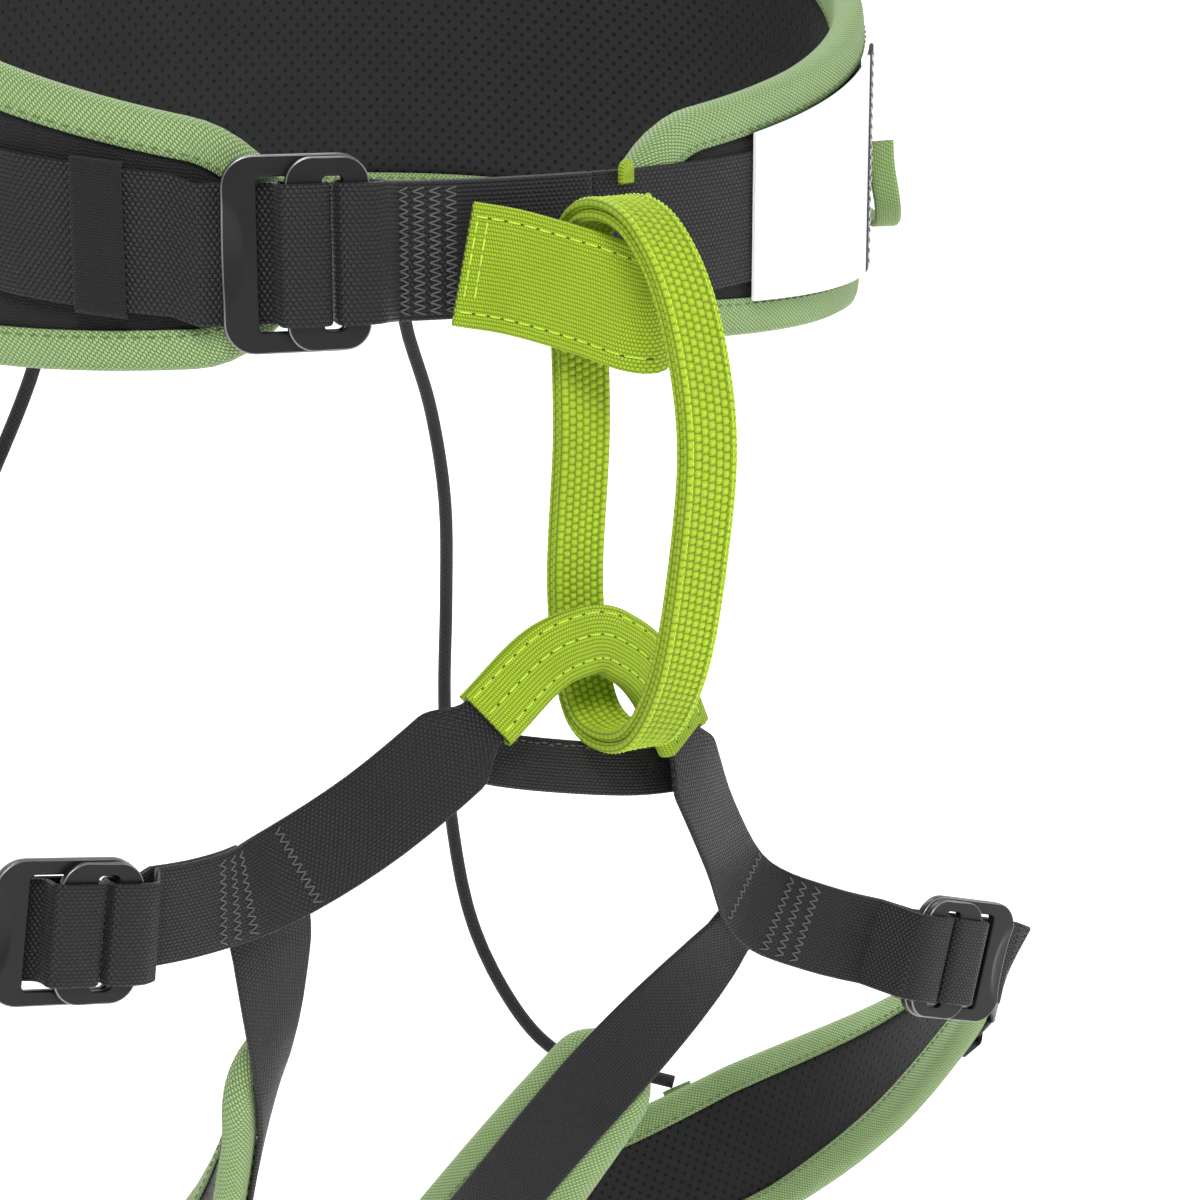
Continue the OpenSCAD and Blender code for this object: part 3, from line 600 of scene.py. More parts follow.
def loop_cloth():
    """Lime cloth with painted shade: 3/4 of its darkening and bump follow the lumps and 1/4 the
    weave.
    """
    made, w, shader, cloth, place = material("lime_loop", 0.62, sheen=0.05)
    moved = w.node("ShaderNodeMapping")
    moved.inputs["Location"].default_value = (0, LUMP * LUMP_ROWS / 2, 0)
    w.put(moved.inputs["Vector"], cloth)
    lumps = place_group(w, weave, moved.outputs[0], Along=LUMP, Across=LUMP,
                        Stagger=LUMP_STAGGER)["Height"]
    fine = place_group(w, weave, cloth, Along=0.8, Across=0.7)["Height"]
    both = w.math("MULTIPLY_ADD", lumps, 0.75, w.math("MULTIPLY", fine, 0.25))
    tone = place_group(w, tones, place, Amount=0.25)["Tone"]
    # painted shade: dark lime on the low parts between the lumps and between the threads
    colour = w.colours(both, (0.06, 0.105, 0.002, 1), (0.40, 0.57, 0.022, 1))
    w.put(shader.inputs["Base Color"], tinted(w, colour, tone))
    bump(w, shader, both, 0.9, 0.4)
    return made


lime_loop = loop_cloth()


# %% [markdown]
# The liner is moulded foam with a knitted face, punched with small holes in a staggered
# pattern so that sweat can dry. The holes dip and get painted shade, as do the knit's gaps.

# %% Liner, film, thread and metal
def liner_material():
    """Charcoal foam with punched holes and a fine knit, with painted shade in the holes and
    between the knit's threads.
    """
    made, w, shader, cloth, place = material("pad_liner", 0.72, sheen=0.05)
    hole = place_group(w, holes, cloth, Pitch=5.1, Radius=0.42, Soft=0.45)["Hole"]
    knit = place_group(w, weave, cloth, Along=0.7, Across=0.7)
    tone = place_group(w, tones, place, Amount=0.3)["Tone"]
    # painted shade: the knit's low parts darker, and the holes nearly black
    face = w.colours(knit["Height"], (0.009, 0.0091, 0.0097, 1), (0.017, 0.0171, 0.018, 1))
    colour = w.colours(hole, face, (0.0015, 0.0015, 0.0015, 1))
    w.put(shader.inputs["Base Color"], tinted(w, colour, tone))
    height = w.math("MULTIPLY_ADD", knit["Height"], 0.12, w.math("SUBTRACT", 1.0, hole))
    bump(w, shader, height, 0.8, 0.5)
    return made


def film_material():
    """A smooth white label film, with the faint print-through of the weave under it."""
    made, w, shader, cloth, place = material("label_film", 0.45, coat=0.15)
    under = place_group(w, weave, cloth, Along=1.6, Across=1.2)["Height"]
    tone = place_group(w, tones, place, Amount=0.05)["Tone"]
    w.put(shader.inputs["Base Color"], tinted(w, (0.86, 0.86, 0.85), tone))
    bump(w, shader, under, 0.25, 0.08)
    return made


def thread_material(name, colour):
    """Twisted sewing thread: its tone changes from stitch to stitch."""
    made, w, shader, cloth, place = material(name, 0.55, sheen=0.2)
    tone = place_group(w, tones, place, Size=300.0, Amount=0.5)["Tone"]
    w.put(shader.inputs["Base Color"], tinted(w, colour, tone))
    twist = w.noise(place, 2500.0)
    bump(w, shader, twist, 0.4, 0.1)
    return made


def anodised_material(name, colour, roughness, metallic, worn):
    """Black anodised aluminium: fine grain, and a roughness that handling has varied."""
    made, w, shader, cloth, place = material(name, roughness, metallic=metallic, coat=0.1)
    grain = w.noise(place, 3500.0, 2.0)
    rub = w.noise(place, 120.0, 4.0)
    w.put(shader.inputs["Roughness"], w.math("MULTIPLY_ADD", rub, worn, roughness - worn / 2))
    tone = w.math("MULTIPLY_ADD", rub, 0.35, 0.82)
    w.put(shader.inputs["Base Color"], tinted(w, colour, tone))
    bump(w, shader, grain, 0.12, 0.05)
    return made


pad_liner, label_film = liner_material(), film_material()
lime_thread = thread_material("lime_thread", (0.46, 0.68, 0.05))
grey_thread = thread_material("grey_thread", (0.085, 0.086, 0.09))
# dark lime thread used as painted shade in the needle holes
shaded_thread = thread_material("shaded_thread", (0.05, 0.085, 0.003))
sage_thread = thread_material("sage_thread", (0.10, 0.16, 0.05))
plate_black = anodised_material("plate_black", (0.011, 0.011, 0.012), 0.36, 0.2, 0.12)
plate_edge = anodised_material("plate_edge", (0.20, 0.20, 0.21), 0.32, 0.9, 0.14)
print("materials:", len(bpy.data.materials))


# %% Putting a piece in place
def finish_piece(obj, materials, body, nodes=()):
    """Gives a piece its finish, its body if one is named (with several it only bakes its place),
    its slot and the nodes it stands for.
    """
    for one in materials if isinstance(materials, (list, tuple)) else [materials]:
        obj.data.materials.append(one)
    if isinstance(body, str):
        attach(obj, body)
    else:
        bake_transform(obj)
    if nodes:
        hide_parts(*nodes)
    print(obj.name, len(obj.data.polygons), "faces")
    return obj


def sewn(name, rows, radius, thread, body, bow=0.25):
    """Rows of stitches as one piece, finished."""
    made = stitches(name, *joined(*rows), radius=radius, bow=bow)
    return finish_piece(made, thread, body)


# %% [markdown]
# ## The studio
# A plain pale sheet that curves up behind the saddle, and three large soft lights: one
# high at the left, a weaker one at the right, and one above and behind for the rims.

# %% Floor and lights
def sweep_floor(z):
    """A sheet over x and a run r: flat at height z until the bend, then a quarter circle
    of the given radius, then straight up."""
    n, m, bend, radius = 9, 60, 1.8, 0.8
    x, r = np.linspace(-4, 4, n), np.linspace(-3.5, 5.5, m)
    a = np.clip((r - bend) / radius, 0, np.pi / 2)
    y = np.minimum(r, bend) + radius * np.sin(a)
    up = z + radius * (1 - np.cos(a)) + np.maximum(r - bend - radius * np.pi / 2, 0)
    points = np.stack([np.broadcast_to(k, (n, m)) for k in (x[:, None], y, up)], -1)
    i, j = (k.ravel() for k in np.meshgrid(np.arange(n - 1), np.arange(m - 1), indexing="ij"))
    quads = np.stack([i * m + j, (i + 1) * m + j, (i + 1) * m + j + 1, i * m + j + 1], 1)
    mesh = bpy.data.meshes.new("floor")
    mesh.from_pydata(points.reshape(-1, 3).tolist(), [], quads.tolist())
    mesh.polygons.foreach_set("use_smooth", np.ones(len(quads), bool))
    obj = bpy.data.objects.new("floor", mesh)
    bpy.context.scene.collection.objects.link(obj)
    paper, w, shader, cloth, place = material("paper", 0.9)
    tone = place_group(w, tones, place, Size=3.0, Amount=0.02)["Tone"]
    w.put(shader.inputs["Base Color"], tinted(w, (0.94, 0.94, 0.94), tone))
    shader.inputs["Emission Color"].default_value = (1, 1, 1, 1)
    shader.inputs["Emission Strength"].default_value = 0.35
    mesh.materials.append(paper)


def soft_light(name, place, watts, size):
    """A square area light aimed at the saddle's middle."""
    data = bpy.data.lights.new(name, "AREA")
    data.energy, data.size = watts, size
    obj = bpy.data.objects.new(name, data)
    bpy.context.scene.collection.objects.link(obj)
    obj.location = place
    aim = Vector((0, -0.03, -0.15)) - Vector(place)
    obj.rotation_euler = aim.to_track_quat("-Z", "Y").to_euler()


FLOOR_GAP = 0.012
sweep_floor(cad_box[0][2] - FLOOR_GAP)
soft_light("key", (-1.1, -1.7, 1.9), 60, 1.0)
soft_light("fill", (1.9, -1.5, 0.7), 18, 1.6)
soft_light("rim", (0.3, 1.6, 1.5), 30, 1.2)
world = bpy.data.worlds.new("studio")
world.use_nodes = True
sky = world.node_tree.nodes["Background"].inputs
sky["Color"].default_value, sky["Strength"].default_value = (1, 1, 1, 1), 0.55
bpy.context.scene.world = world
bpy.context.scene.view_settings.view_transform = "Standard"

# %% [markdown]
# ## The belt's line
# Seen from above the belt is a superellipse, rounder than a rectangle and squarer than an
# ellipse. It climbs towards the back. Every waist piece is placed by an angle round it,
# an offset outwards and a height.

# %% Belt line
WAIST_A, WAIST_B, RISE, SQUARE = 172.0, 106.0, 52.0, 2.15
BELT_Z = -5.0
WAIST_WEB, LEG_WEB, BAND_WEB, WEB_T = 40.0, 28.0, 25.0, 1.8


def power(x, p):
    """A power that keeps the sign."""
    return np.sign(x) * np.abs(x) ** p


def belt_normal(t):
    """Outwards from the superellipse: the gradient of |x/a|^e + |y/b|^e."""
    t = np.radians(np.asarray(t, float))
    x, y = power(np.sin(t), 2 / SQUARE), -power(np.cos(t), 2 / SQUARE)
    e = SQUARE - 1
    return unit(np.stack([power(x, e) / WAIST_A, power(y, e) / WAIST_B, 0 * x], -1))


def belt_at(t, off=0.0, z=0.0):
    """(a sin^(2/e), -b cos^(2/e)) plus off outwards, and z above the belt's centre line,
    which rises by RISE ((1 - cos t) / 2)^1.1."""
    a = np.radians(np.asarray(t, float))
    off, z = np.broadcast_to(off, a.shape), np.broadcast_to(z, a.shape)
    x, y = WAIST_A * power(np.sin(a), 2 / SQUARE), -WAIST_B * power(np.cos(a), 2 / SQUARE)
    up = z + BELT_Z + RISE * ((1 - np.cos(a)) / 2) ** 1.1
    return np.stack([x, y, up], -1) + off[..., None] * belt_normal(t)


# %% [markdown]
# ## The risers
# Two thin cords hang from the back of the belt to the leg loops, and keep these from
# falling down. They are limp and hang freely. Each goes into a tape at both ends.

# %% Hanging side
SIDES = {"left": 1.0, "right": -1.0}
HANG = math.radians(13)
HANG_POINT = np.array([0.0, -128, -108])


def hang_turn(side):
    """Mirror x for the wearer's right, then turn by HANG about Y."""
    turn = np.array([[math.cos(HANG), 0, math.sin(HANG)], [0, 1, 0],
                     [-math.sin(HANG), 0, math.cos(HANG)]])
    return turn @ np.diag([side, 1.0, 1.0])


def hung(strap, side):
    """A strap drawn for the left leg, in its place on either side."""
    turn = hang_turn(side)
    return strap.moved(turn, HANG_POINT - turn @ HANG_POINT)


def hung_point(point, side):
    """The same for one point, or for an array of them."""
    return (np.asarray(point, float) - HANG_POINT) @ hang_turn(side).T + HANG_POINT


# %% Risers
RISER_D = 5.0
riser_routes = {
    "left": [(69.5, 101, 10.5), (69, 103, -6), (67, 108, -34), (70, 111, -62), (83, 116, -96),
             (90, 118, -133), (90, 118, -172), (87, 115, -210), (86, 110, -252),
             (91, 101, -299), (104, 82, -336), (122, 64, -352), (136, 50, -352),
             (144.5, 42.5, -354)],
    "right": [(-69.5, 101, 10.5), (-69, 103, -6), (-68, 108, -34), (-74, 112, -64),
              (-88, 114, -96), (-108, 112, -130), (-134, 106, -166), (-162, 96, -202),
              (-190, 82, -234), (-214, 64, -256), (-230, 50, -264), (-238, 42.5, -266)],
}


def round_cord(name, strap, diameter, sides=14):
    """A tube: each ring is a circle of half the diameter, in the strap's own frame."""
    a = np.arange(sides) * 2 * np.pi / sides
    r = diameter / 2
    v = np.append(a, 2 * np.pi) * r
    return carried(name, strap, (r * np.cos(a))[None], (r * np.sin(a))[None], v)


for name, route in riser_routes.items():
    path = even(spline(route, 5), 4.0)
    strap = Strap(path, np.broadcast_to([0.2, 1.0, 0.0], path.shape))
    cord = round_cord(f"riser_cord_{name}", strap, RISER_D)
    body = ("waist", f"leg_{name}", path[2], path[-3])
    finish_piece(cord, cord_sheath, body, [f"riser_{name}"])
    print(f"riser {name}: {strap.total:.0f} mm")

# %% [markdown]
# ## A pad
# A pad is foam between two skins, thick in the middle and pinched at the seam round its
# edge. Its section is a superellipse, and both ends are half ellipses, so the foam is one
# closed crowned shape. Then Blender's Cloth blows it up a little, with the seam and the
# outer face held, and this gives the liner its soft swell.

# %% Pad stations
class Pad:
    """Places along a pad: middle p, outward face n, direction across w, half height h,
    and the angle a round its two ends, 90 degrees between them."""

    def __init__(self, path, faces, halves, end, spacing, upright=False):
        cum = lengths(path)
        total = cum[-1]
        turn = np.radians([2, 8, 15, 23, 32, 42, 52, 62, 72, 81])
        count = int((total - 2 * end) / spacing)
        s = np.concatenate([end * (1 - np.cos(turn)), np.linspace(end, total - end, count),
                            total - end * (1 - np.cos(turn[::-1]))])
        a = np.concatenate([turn, np.full(count, np.pi / 2), np.pi - turn[::-1]])
        self.s, self.a, self.end = s, a, end
        self.p = along(path, cum, s)
        self.n = unit(along(faces, cum, s))
        self.t = unit(along(path, cum, np.minimum(s + 2, total))
                      - along(path, cum, np.maximum(s - 2, 0)))
        self.h = along(np.asarray(halves)[:, None], cum, s)[:, 0]
        self.w = unit(np.cross(self.t, self.n))
        if upright:
            self.w = np.broadcast_to([0.0, 0, -1], self.p.shape)


PLUMP, EDGE_SPARE = 3.4, 0.4


def plump(a):
    """The point of the superellipse |v|^e + |y|^e = 1 at the angle a, with e = PLUMP."""
    return np.stack([power(np.cos(a), 2 / PLUMP), power(np.sin(a), 2 / PLUMP)], 1)


def pillow(count):
    """The same superellipse all round, with its points evenly spaced."""
    curve = plump(np.linspace(0, 2 * np.pi, 721))
    cum = lengths(curve)
    return along(curve, cum, np.linspace(0, cum[-1], count + 1)[:-1])


def pad_skin(name, pad, section, middle, half_thick, lift=0.0):
    """A closed skin: each ring is the section, its height times sin a and its thickness
    times the square root of sin a, with lift added to the thickness."""
    wide = ((pad.h + EDGE_SPARE) * np.sin(pad.a))[:, None] * section[None, :, 0]
    thin = (half_thick * np.sqrt(np.sin(pad.a)))[:, None] * section[None, :, 1] + lift
    rings = (pad.p[:, None] + pad.w[:, None] * wide[..., None]
             + pad.n[:, None] * (middle + thin)[..., None])
    return grid(name, rings, np.append(pad.s, pad.s[-1]), wrapped(wide))


def pad_foam(name, pad, middle, half_thick, count, inner_share, cap_mm):
    """The foam's pillow, swelled where it faces inwards and softened. inner_share is how
    much of its height is free to swell."""
    section = pillow(count)
    made = pad_skin(name, pad, section, middle, half_thick)
    inner = (section[:, 1] < -0.3) & (np.abs(section[:, 0]) < inner_share)
    free = np.tile(inner, len(pad.s)) & np.repeat(np.sin(pad.a) > 0.9, len(section))
    swell(made, free, cap_mm)
    soften(made)
    return made


def swell(obj, free, cap_mm, pressure=4.0, frames=20):
    """Blender's Cloth with pressure and no gravity, from frame 1 to 20. Points outside free
    are pinned, and no point may move further than the cap."""
    rest = np.zeros(len(obj.data.vertices) * 3)
    obj.data.vertices.foreach_get("co", rest)
    held = obj.vertex_groups.new(name="held")
    held.add(np.flatnonzero(~free).tolist(), 1.0, "REPLACE")
    cloth = obj.modifiers.new("cloth", "CLOTH")
    cloth.settings.use_pressure = True
    cloth.settings.uniform_pressure_force = pressure
    cloth.settings.vertex_group_mass = "held"
    cloth.settings.effector_weights.gravity = 0
    cloth.point_cache.frame_start, cloth.point_cache.frame_end = 1, frames
    for number in range(1, frames + 1):
        bpy.context.scene.frame_set(number)
    done = obj.evaluated_get(bpy.context.evaluated_depsgraph_get())
    moved = np.zeros(len(rest))
    done.data.vertices.foreach_get("co", moved)
    obj.modifiers.remove(cloth)
    obj.vertex_groups.clear()
    bpy.context.scene.frame_set(1)
    step = (moved - rest).reshape(-1, 3)
    far = np.linalg.norm(step, axis=1, keepdims=True)
    step *= np.minimum(1, cap_mm * MM / np.maximum(far, 1e-9))
    obj.data.vertices.foreach_set("co", rest + step.ravel())
    obj.data.update()
    print(f"{obj.name} swelled by up to {min(far.max() / MM, cap_mm):.1f} mm")


def soften(obj):
    """One subdivision of the finished pad."""
    made = obj.modifiers.new("soft", "SUBSURF")
    made.levels = made.render_levels = 1


# %% Shell and binding of a pad
def pad_shell(name, pad, middle, half_thick):
    """A thin skin on the pad's outer side: the pillow's outer half 0.25 mm above it, back
    along 0.3 mm under it, and closed round both edges."""
    count = 30
    half = plump(np.linspace(0.12, np.pi - 0.12, count))
    lift = np.repeat([0.25, -0.3], count)
    return pad_skin(name, pad, np.vstack([half, half[::-1]]), middle, half_thick, lift)


def edge_line(pad):
    """All round a pad's edge: its points, the direction out of the pad and the face's."""
    def side(sign):
        edge = pad.p + sign * pad.w * (pad.h * np.sin(pad.a))[:, None]
        out = unit(sign * pad.w * (np.sin(pad.a) / pad.h)[:, None]
                   - pad.t * (np.cos(pad.a) / pad.end)[:, None])
        return edge, out, pad.n
    one, two = side(1), side(-1)
    return [np.vstack([x, y[::-1]]) for x, y in zip(one, two)]


def tape_round(half_thick, reach, proud, thick, count=16):
    """The outline of a tape folded round the pad's edge: a curve that hugs the pillow,
    proud of it by so much, and back again with the tape's thickness between."""
    a = np.linspace(-1, 1, count)
    bend = np.clip(np.abs(a) - 0.28, 0, 1) / 0.72
    angle = np.clip(np.abs(a) / 0.28, 0, 1) * np.pi / 2
    out = 2.2 * np.cos(angle) - reach * bend
    side = np.sign(a) * ((half_thick - 0.9) * np.sin(angle) + 0.9 * bend ** 0.6)
    curve = np.stack([out, side], 1)
    ahead = headings(curve)
    normal = np.stack([ahead[:, 1], -ahead[:, 0]], 1)
    outer, inner = curve + normal * (proud + thick), curve + normal * proud
    return np.vstack([outer, inner[::-1]])


def pad_binding(name, pad, middle, half_thick, reach):
    """The folded tape carried all round the pad's edge."""
    edge, out, face = edge_line(pad)
    keep = np.concatenate([[True], np.linalg.norm(np.diff(edge, axis=0), axis=1) > 0.3])
    edge, out, face = edge[keep], out[keep], face[keep]
    section = tape_round(half_thick, reach, proud=0.1, thick=0.9)
    rings = (edge[:, None] + out[:, None] * section[None, :, :1]
             + face[:, None] * (middle + section[None, :, 1:]))
    cum = lengths(edge)
    u = np.append(cum, cum[-1] + np.linalg.norm(edge[0] - edge[-1]))
    return grid(name, rings, u, around(section), loop=True), (edge, out, face, cum)


def binding_stitches(name, line, middle, inboard, height, pitch=4.2):
    """Stitches near the tape's two rims, inboard from the edge and at plus and minus a
    height: each runs along the edge for 60% of a pitch."""
    edge, out, face, cum = line
    s = np.arange(pitch, cum[-1] - pitch, pitch)
    table = np.hstack([edge, out, face])
    sets = []
    for up in (-height, height):
        ends = []
        for shift in (-0.3, 0.3):
            q = along(table, cum, s + shift * pitch)
            ends.append(q[:, :3] - unit(q[:, 3:6]) * inboard
                        + unit(q[:, 6:]) * (middle + up))
        q = along(table, cum, s)
        sets.append([*ends, unit(q[:, 6:]) * np.sign(up)])
    return stitches(name, *joined(*sets), radius=0.22)


# %% [markdown]
# ## The waist pad
# It is tallest at the back and narrows to two rounded ends in front. The camera looks
# into it, so most of what shows is the liner's inner face with its punched holes.

# %% Waist pad
PAD_START, PAD_END, PAD_ROUND = 7.0, 334.0, 30.0
WAIST_MIDDLE, WAIST_THICK = -6.0, 4.75


def waist_half(t):
    """Half the pad's height: 29 mm at its ends, 60 mm from 32% of its length on."""
    u = (np.asarray(t, float) - PAD_START) / (PAD_END - PAD_START)
    return mix(29.0, 60.0, np.clip(np.minimum(u, 1 - u) / 0.32, 0, 1))


t = np.linspace(PAD_START, PAD_END, 330)
waist_pad_line = Pad(belt_at(t), belt_normal(t), waist_half(t), PAD_ROUND, 5.0, upright=True)
waist_pad = pad_foam("waist_pad", waist_pad_line, WAIST_MIDDLE, WAIST_THICK,
                     count=44, inner_share=0.93, cap_mm=1.6)
finish_piece(waist_pad, pad_liner, "waist", ["waist_pad_liner", "waist_pad_foam"])
shell = pad_shell("waist_pad_cover", waist_pad_line, WAIST_MIDDLE, WAIST_THICK)
finish_piece(shell, shell_cloth, "waist", ["waist_pad_shell"])
rim, rim_line = pad_binding("waist_pad_rim", waist_pad_line, WAIST_MIDDLE, WAIST_THICK, 9.0)
finish_piece(rim, sage_mesh, "waist", ["waist_pad_binding"])
thread = binding_stitches("waist_pad_rim_thread", rim_line, WAIST_MIDDLE, 7.2,
                          WAIST_THICK + 1.0)
finish_piece(thread, sage_thread, "waist")

# %% [markdown]
# ## The adjusting buckles
# A buckle is two black plates. The webbing comes up through the window of the big one,
# turns over the bar of the small one and dives back down. Both plates have one window, so
# each is a ring: an outline outside, another inside, and a section with rounded edges
# carried round between them. A shallow dish in the wide bar is where the thumb pulls.

# %% Buckle measures
FRAME_T, SLIDER_T, BAR_END, BUCKLE_ROUND = 3.0, 2.5, 21.0, 9.0
WINDOW_END, SLIDER_START, SLIDER_BAR_END, THUMB_BAR = 13.0, -3.5, 7.0, 10.0
SLOT_ROOM, GAP = 1.7, 0.3
SLIDER_Y = FRAME_T / 2 + GAP + SLIDER_T
PIVOT_X = (WINDOW_END + BAR_END) / 2


def rounded(x0, x1, half, r, arc=10, side=14):
    """A rectangle with rounded corners as points in order: four sides and four quarter
    circles, always with the same count, so two of them can be joined point by point."""
    cx, cz = (x1 - r, x0 + r, x0 + r, x1 - r), (half - r, half - r, -half + r, -half + r)
    parts = []
    for k in range(4):
        a = np.radians(90 * k + np.linspace(0, 90, arc))
        turn = np.stack([cx[k] + r * np.cos(a), cz[k] + r * np.sin(a)], 1)
        n = (k + 1) % 4
        first = np.radians(90 * n)
        follow = np.array([cx[n] + r * np.cos(first), cz[n] + r * np.sin(first)])
        parts += [turn, mix(turn[-1], follow, (np.arange(1, side) / side)[:, None])]
    return np.vstack(parts)


def plate_section(y0, y1, edge=0.45, steps=22):
    """A walk round the plate's section, as shares across (0 at the window, 1 outside),
    inset in mm and height: top face, rounded edge, wall, bottom face and back."""
    a = np.linspace(0, np.pi / 2, 4)
    turn_in, turn_y = edge * (1 - np.sin(a)), edge * (1 - np.cos(a))
    share = np.linspace(0, 1, steps)
    rows = [(0, -i, y1 - d) for i, d in zip(turn_in[::-1], turn_y[::-1])]
    rows += [(s, mix(-edge, edge, s), y1) for s in share[1:-1]]
    rows += [(1, i, y1 - d) for i, d in zip(turn_in, turn_y)]
    rows += [(1, i, y0 + d) for i, d in zip(turn_in[::-1], turn_y[::-1])]
    rows += [(s, mix(-edge, edge, s), y0) for s in share[1:-1:4][::-1]]
    rows += [(0, -i, y0 + d) for i, d in zip(turn_in, turn_y)]
    return np.array(rows)


def dish(x, z):
    """The thumb's dish: depth 1.3 (1 - r^2)^0.7 inside an ellipse at the bar's edge."""
    r = ((x + BAR_END + 0.6) / 6.4) ** 2 + (z / 12.5) ** 2
    return 1.3 * np.clip(1 - r, 0, 1) ** 0.7


def plate(name, outer, window, out0, out1, place, thumb=False):
    """A plate with one window. outer and window are outlines [x, z]; out0 and out1 are its
    two faces; place turns [x, out, z] of the buckle's frame into the part's own."""
    section = plate_section(out0, out1)
    share, inset, out = section[:, 0], section[:, 1], section[:, 2]
    way = unit(outer - window)
    flat = (mix(window[:, None], outer[:, None], share[None, :, None])
            - way[:, None] * inset[None, :, None])
    height = np.broadcast_to(out, flat.shape[:2]).copy()
    if thumb:
        top = height > out1 - 1.0
        height -= np.where(top, dish(flat[..., 0], flat[..., 1]), 0)
    rings = place(np.stack([flat[..., 0], height, flat[..., 1]], -1))
    polish = (share == 1) & (out > (out0 + out1) / 2)
    width = np.append(lengths(section[:, 1:]), 0)
    return grid(name, rings, around(outer), width, loop=True,
                slots=lambda i, j: polish[j].astype(int) * polish[(j + 1) % len(out)])


def buckle_plates(kind, side_name, web, rail, place, body):
    """The frame plate and the slider plate of one buckle."""
    slot_half = web / 2 + SLOT_ROOM
    half = slot_half + rail
    frame_plate = plate(
        f"{kind}_frame{side_name}", rounded(-BAR_END, BAR_END, half, BUCKLE_ROUND),
        rounded(-BAR_END + THUMB_BAR, WINDOW_END, slot_half, 1.5),
        -FRAME_T / 2, FRAME_T / 2, place, thumb=True)
    slider_plate = plate(
        f"{kind}_slider{side_name}",
        rounded(SLIDER_START, BAR_END - 0.6, half - 0.6, BUCKLE_ROUND - 1.5),
        rounded(SLIDER_BAR_END, WINDOW_END, slot_half, 1.5), SLIDER_Y - SLIDER_T, SLIDER_Y,
        place)
    for part, made in (("frame", frame_plate), ("slider", slider_plate)):
        finish_piece(made, [plate_black, plate_edge], body,
                     [f"{kind}_{part}{side_name}"])


# %% Webbing's run through a buckle
WRAP_LEFT, WRAP_RIGHT, WRAP_TOP = -5.0, 8.5, 5.8
MAIN_Y, TAIL_Y = -3.0, -5.1


def adjuster_run(tail_x):
    """[x, out] of the webbing from behind the thumb bar, up, over the bar and back under."""
    knots = [(-27, MAIN_Y - 0.2), (-20, MAIN_Y), (-13, MAIN_Y), (-8, MAIN_Y + 0.2),
             (-5.6, -1.6), (WRAP_LEFT, 0.6), (WRAP_LEFT, 3.4), (WRAP_LEFT + 0.5, 5.0),
             (WRAP_LEFT + 2.2, WRAP_TOP), (1.7, WRAP_TOP + 0.25), (WRAP_RIGHT - 2.2, WRAP_TOP),
             (WRAP_RIGHT - 0.5, 5.0), (WRAP_RIGHT, 3.4), (WRAP_RIGHT, -1.2),
             (WRAP_RIGHT - 0.8, -3.6), (WRAP_RIGHT - 3.2, -4.9), (0, TAIL_Y), (-10, TAIL_Y),
             (tail_x, TAIL_Y - 0.1)]
    return spline(knots, 6)


def loop_run():
    """[x, out] of the sewn loop round the buckle's plain bars."""
    top, left, foot = SLIDER_Y + 2.0, WINDOW_END - 1.8, -FRAME_T / 2 - 2.0
    knots = [(BAR_END + 3.6, top - 2.6), (BAR_END + 0.6, top - 0.7), (PIVOT_X, top),
             (left + 1.2, top - 0.5), (left, top - 2.6), (left, foot + 2.2),
             (left + 1.2, foot + 0.4), (PIVOT_X, foot), (BAR_END + 1, foot + 0.4)]
    return spline(knots, 6)


# %% Waist buckle
BUCKLE_AT = -26.7
buckle_origin, buckle_out = belt_at(BUCKLE_AT, 5.5), belt_normal(BUCKLE_AT)
buckle_ahead = np.array([-buckle_out[1], buckle_out[0], 0.0])


def in_waist_buckle(q):
    """[x, out] or [x, out, z] of the waist buckle's frame, in the part's own frame."""
    q = np.asarray(q, float)
    p = buckle_origin + q[..., :1] * buckle_ahead + q[..., 1:2] * buckle_out
    return p + (q[..., 2:3] * [0.0, 0, 1] if q.shape[-1] == 3 else 0)


print("waist buckle heads", buckle_ahead.round(3))
buckle_plates("waist_buckle", "", WAIST_WEB, 6.0, in_waist_buckle, "waist_buckle")

# %% [markdown]
# ## The waist webbing
# One long band runs from the front centre all round the back to the buckle. There it goes
# through both windows and comes out as its own tail. It is one piece.

# %% Waist webbing
BELT_END = 360 + BUCKLE_AT - 13
TAIL_DEG = 16


def belt_lift(t):
    """Over its own tail the belt lies one webbing further out."""
    return np.clip((t - (BELT_END - TAIL_DEG - 8)) / 6, 0, 1) * (WEB_T + GAP)


t = np.linspace(2.9, BELT_END, 560)
tail_t = np.linspace(BELT_END, BELT_END - TAIL_DEG + 0.6, 30)
belt_path = np.vstack([belt_at(t, belt_lift(t)), in_waist_buckle(adjuster_run(-27)),
                       belt_at(tail_t)])
belt = Strap(belt_path, upright=True)
belt.across = np.broadcast_to([0.0, 0, 1], belt.path.shape)
belt.face = unit(np.cross(headings(belt.path), [0.0, 0, 1]))
webbing_belt = webbing("waist_webbing", belt, WAIST_WEB, WEB_T, across=14)
blend = ("waist", "waist_buckle", in_waist_buckle([-24, 0]), in_waist_buckle([-6, 0]))
finish_piece(webbing_belt, black_webbing, blend,
             ["waist_belt", "waist_belt_tail", "waist_buckle_wrap"])

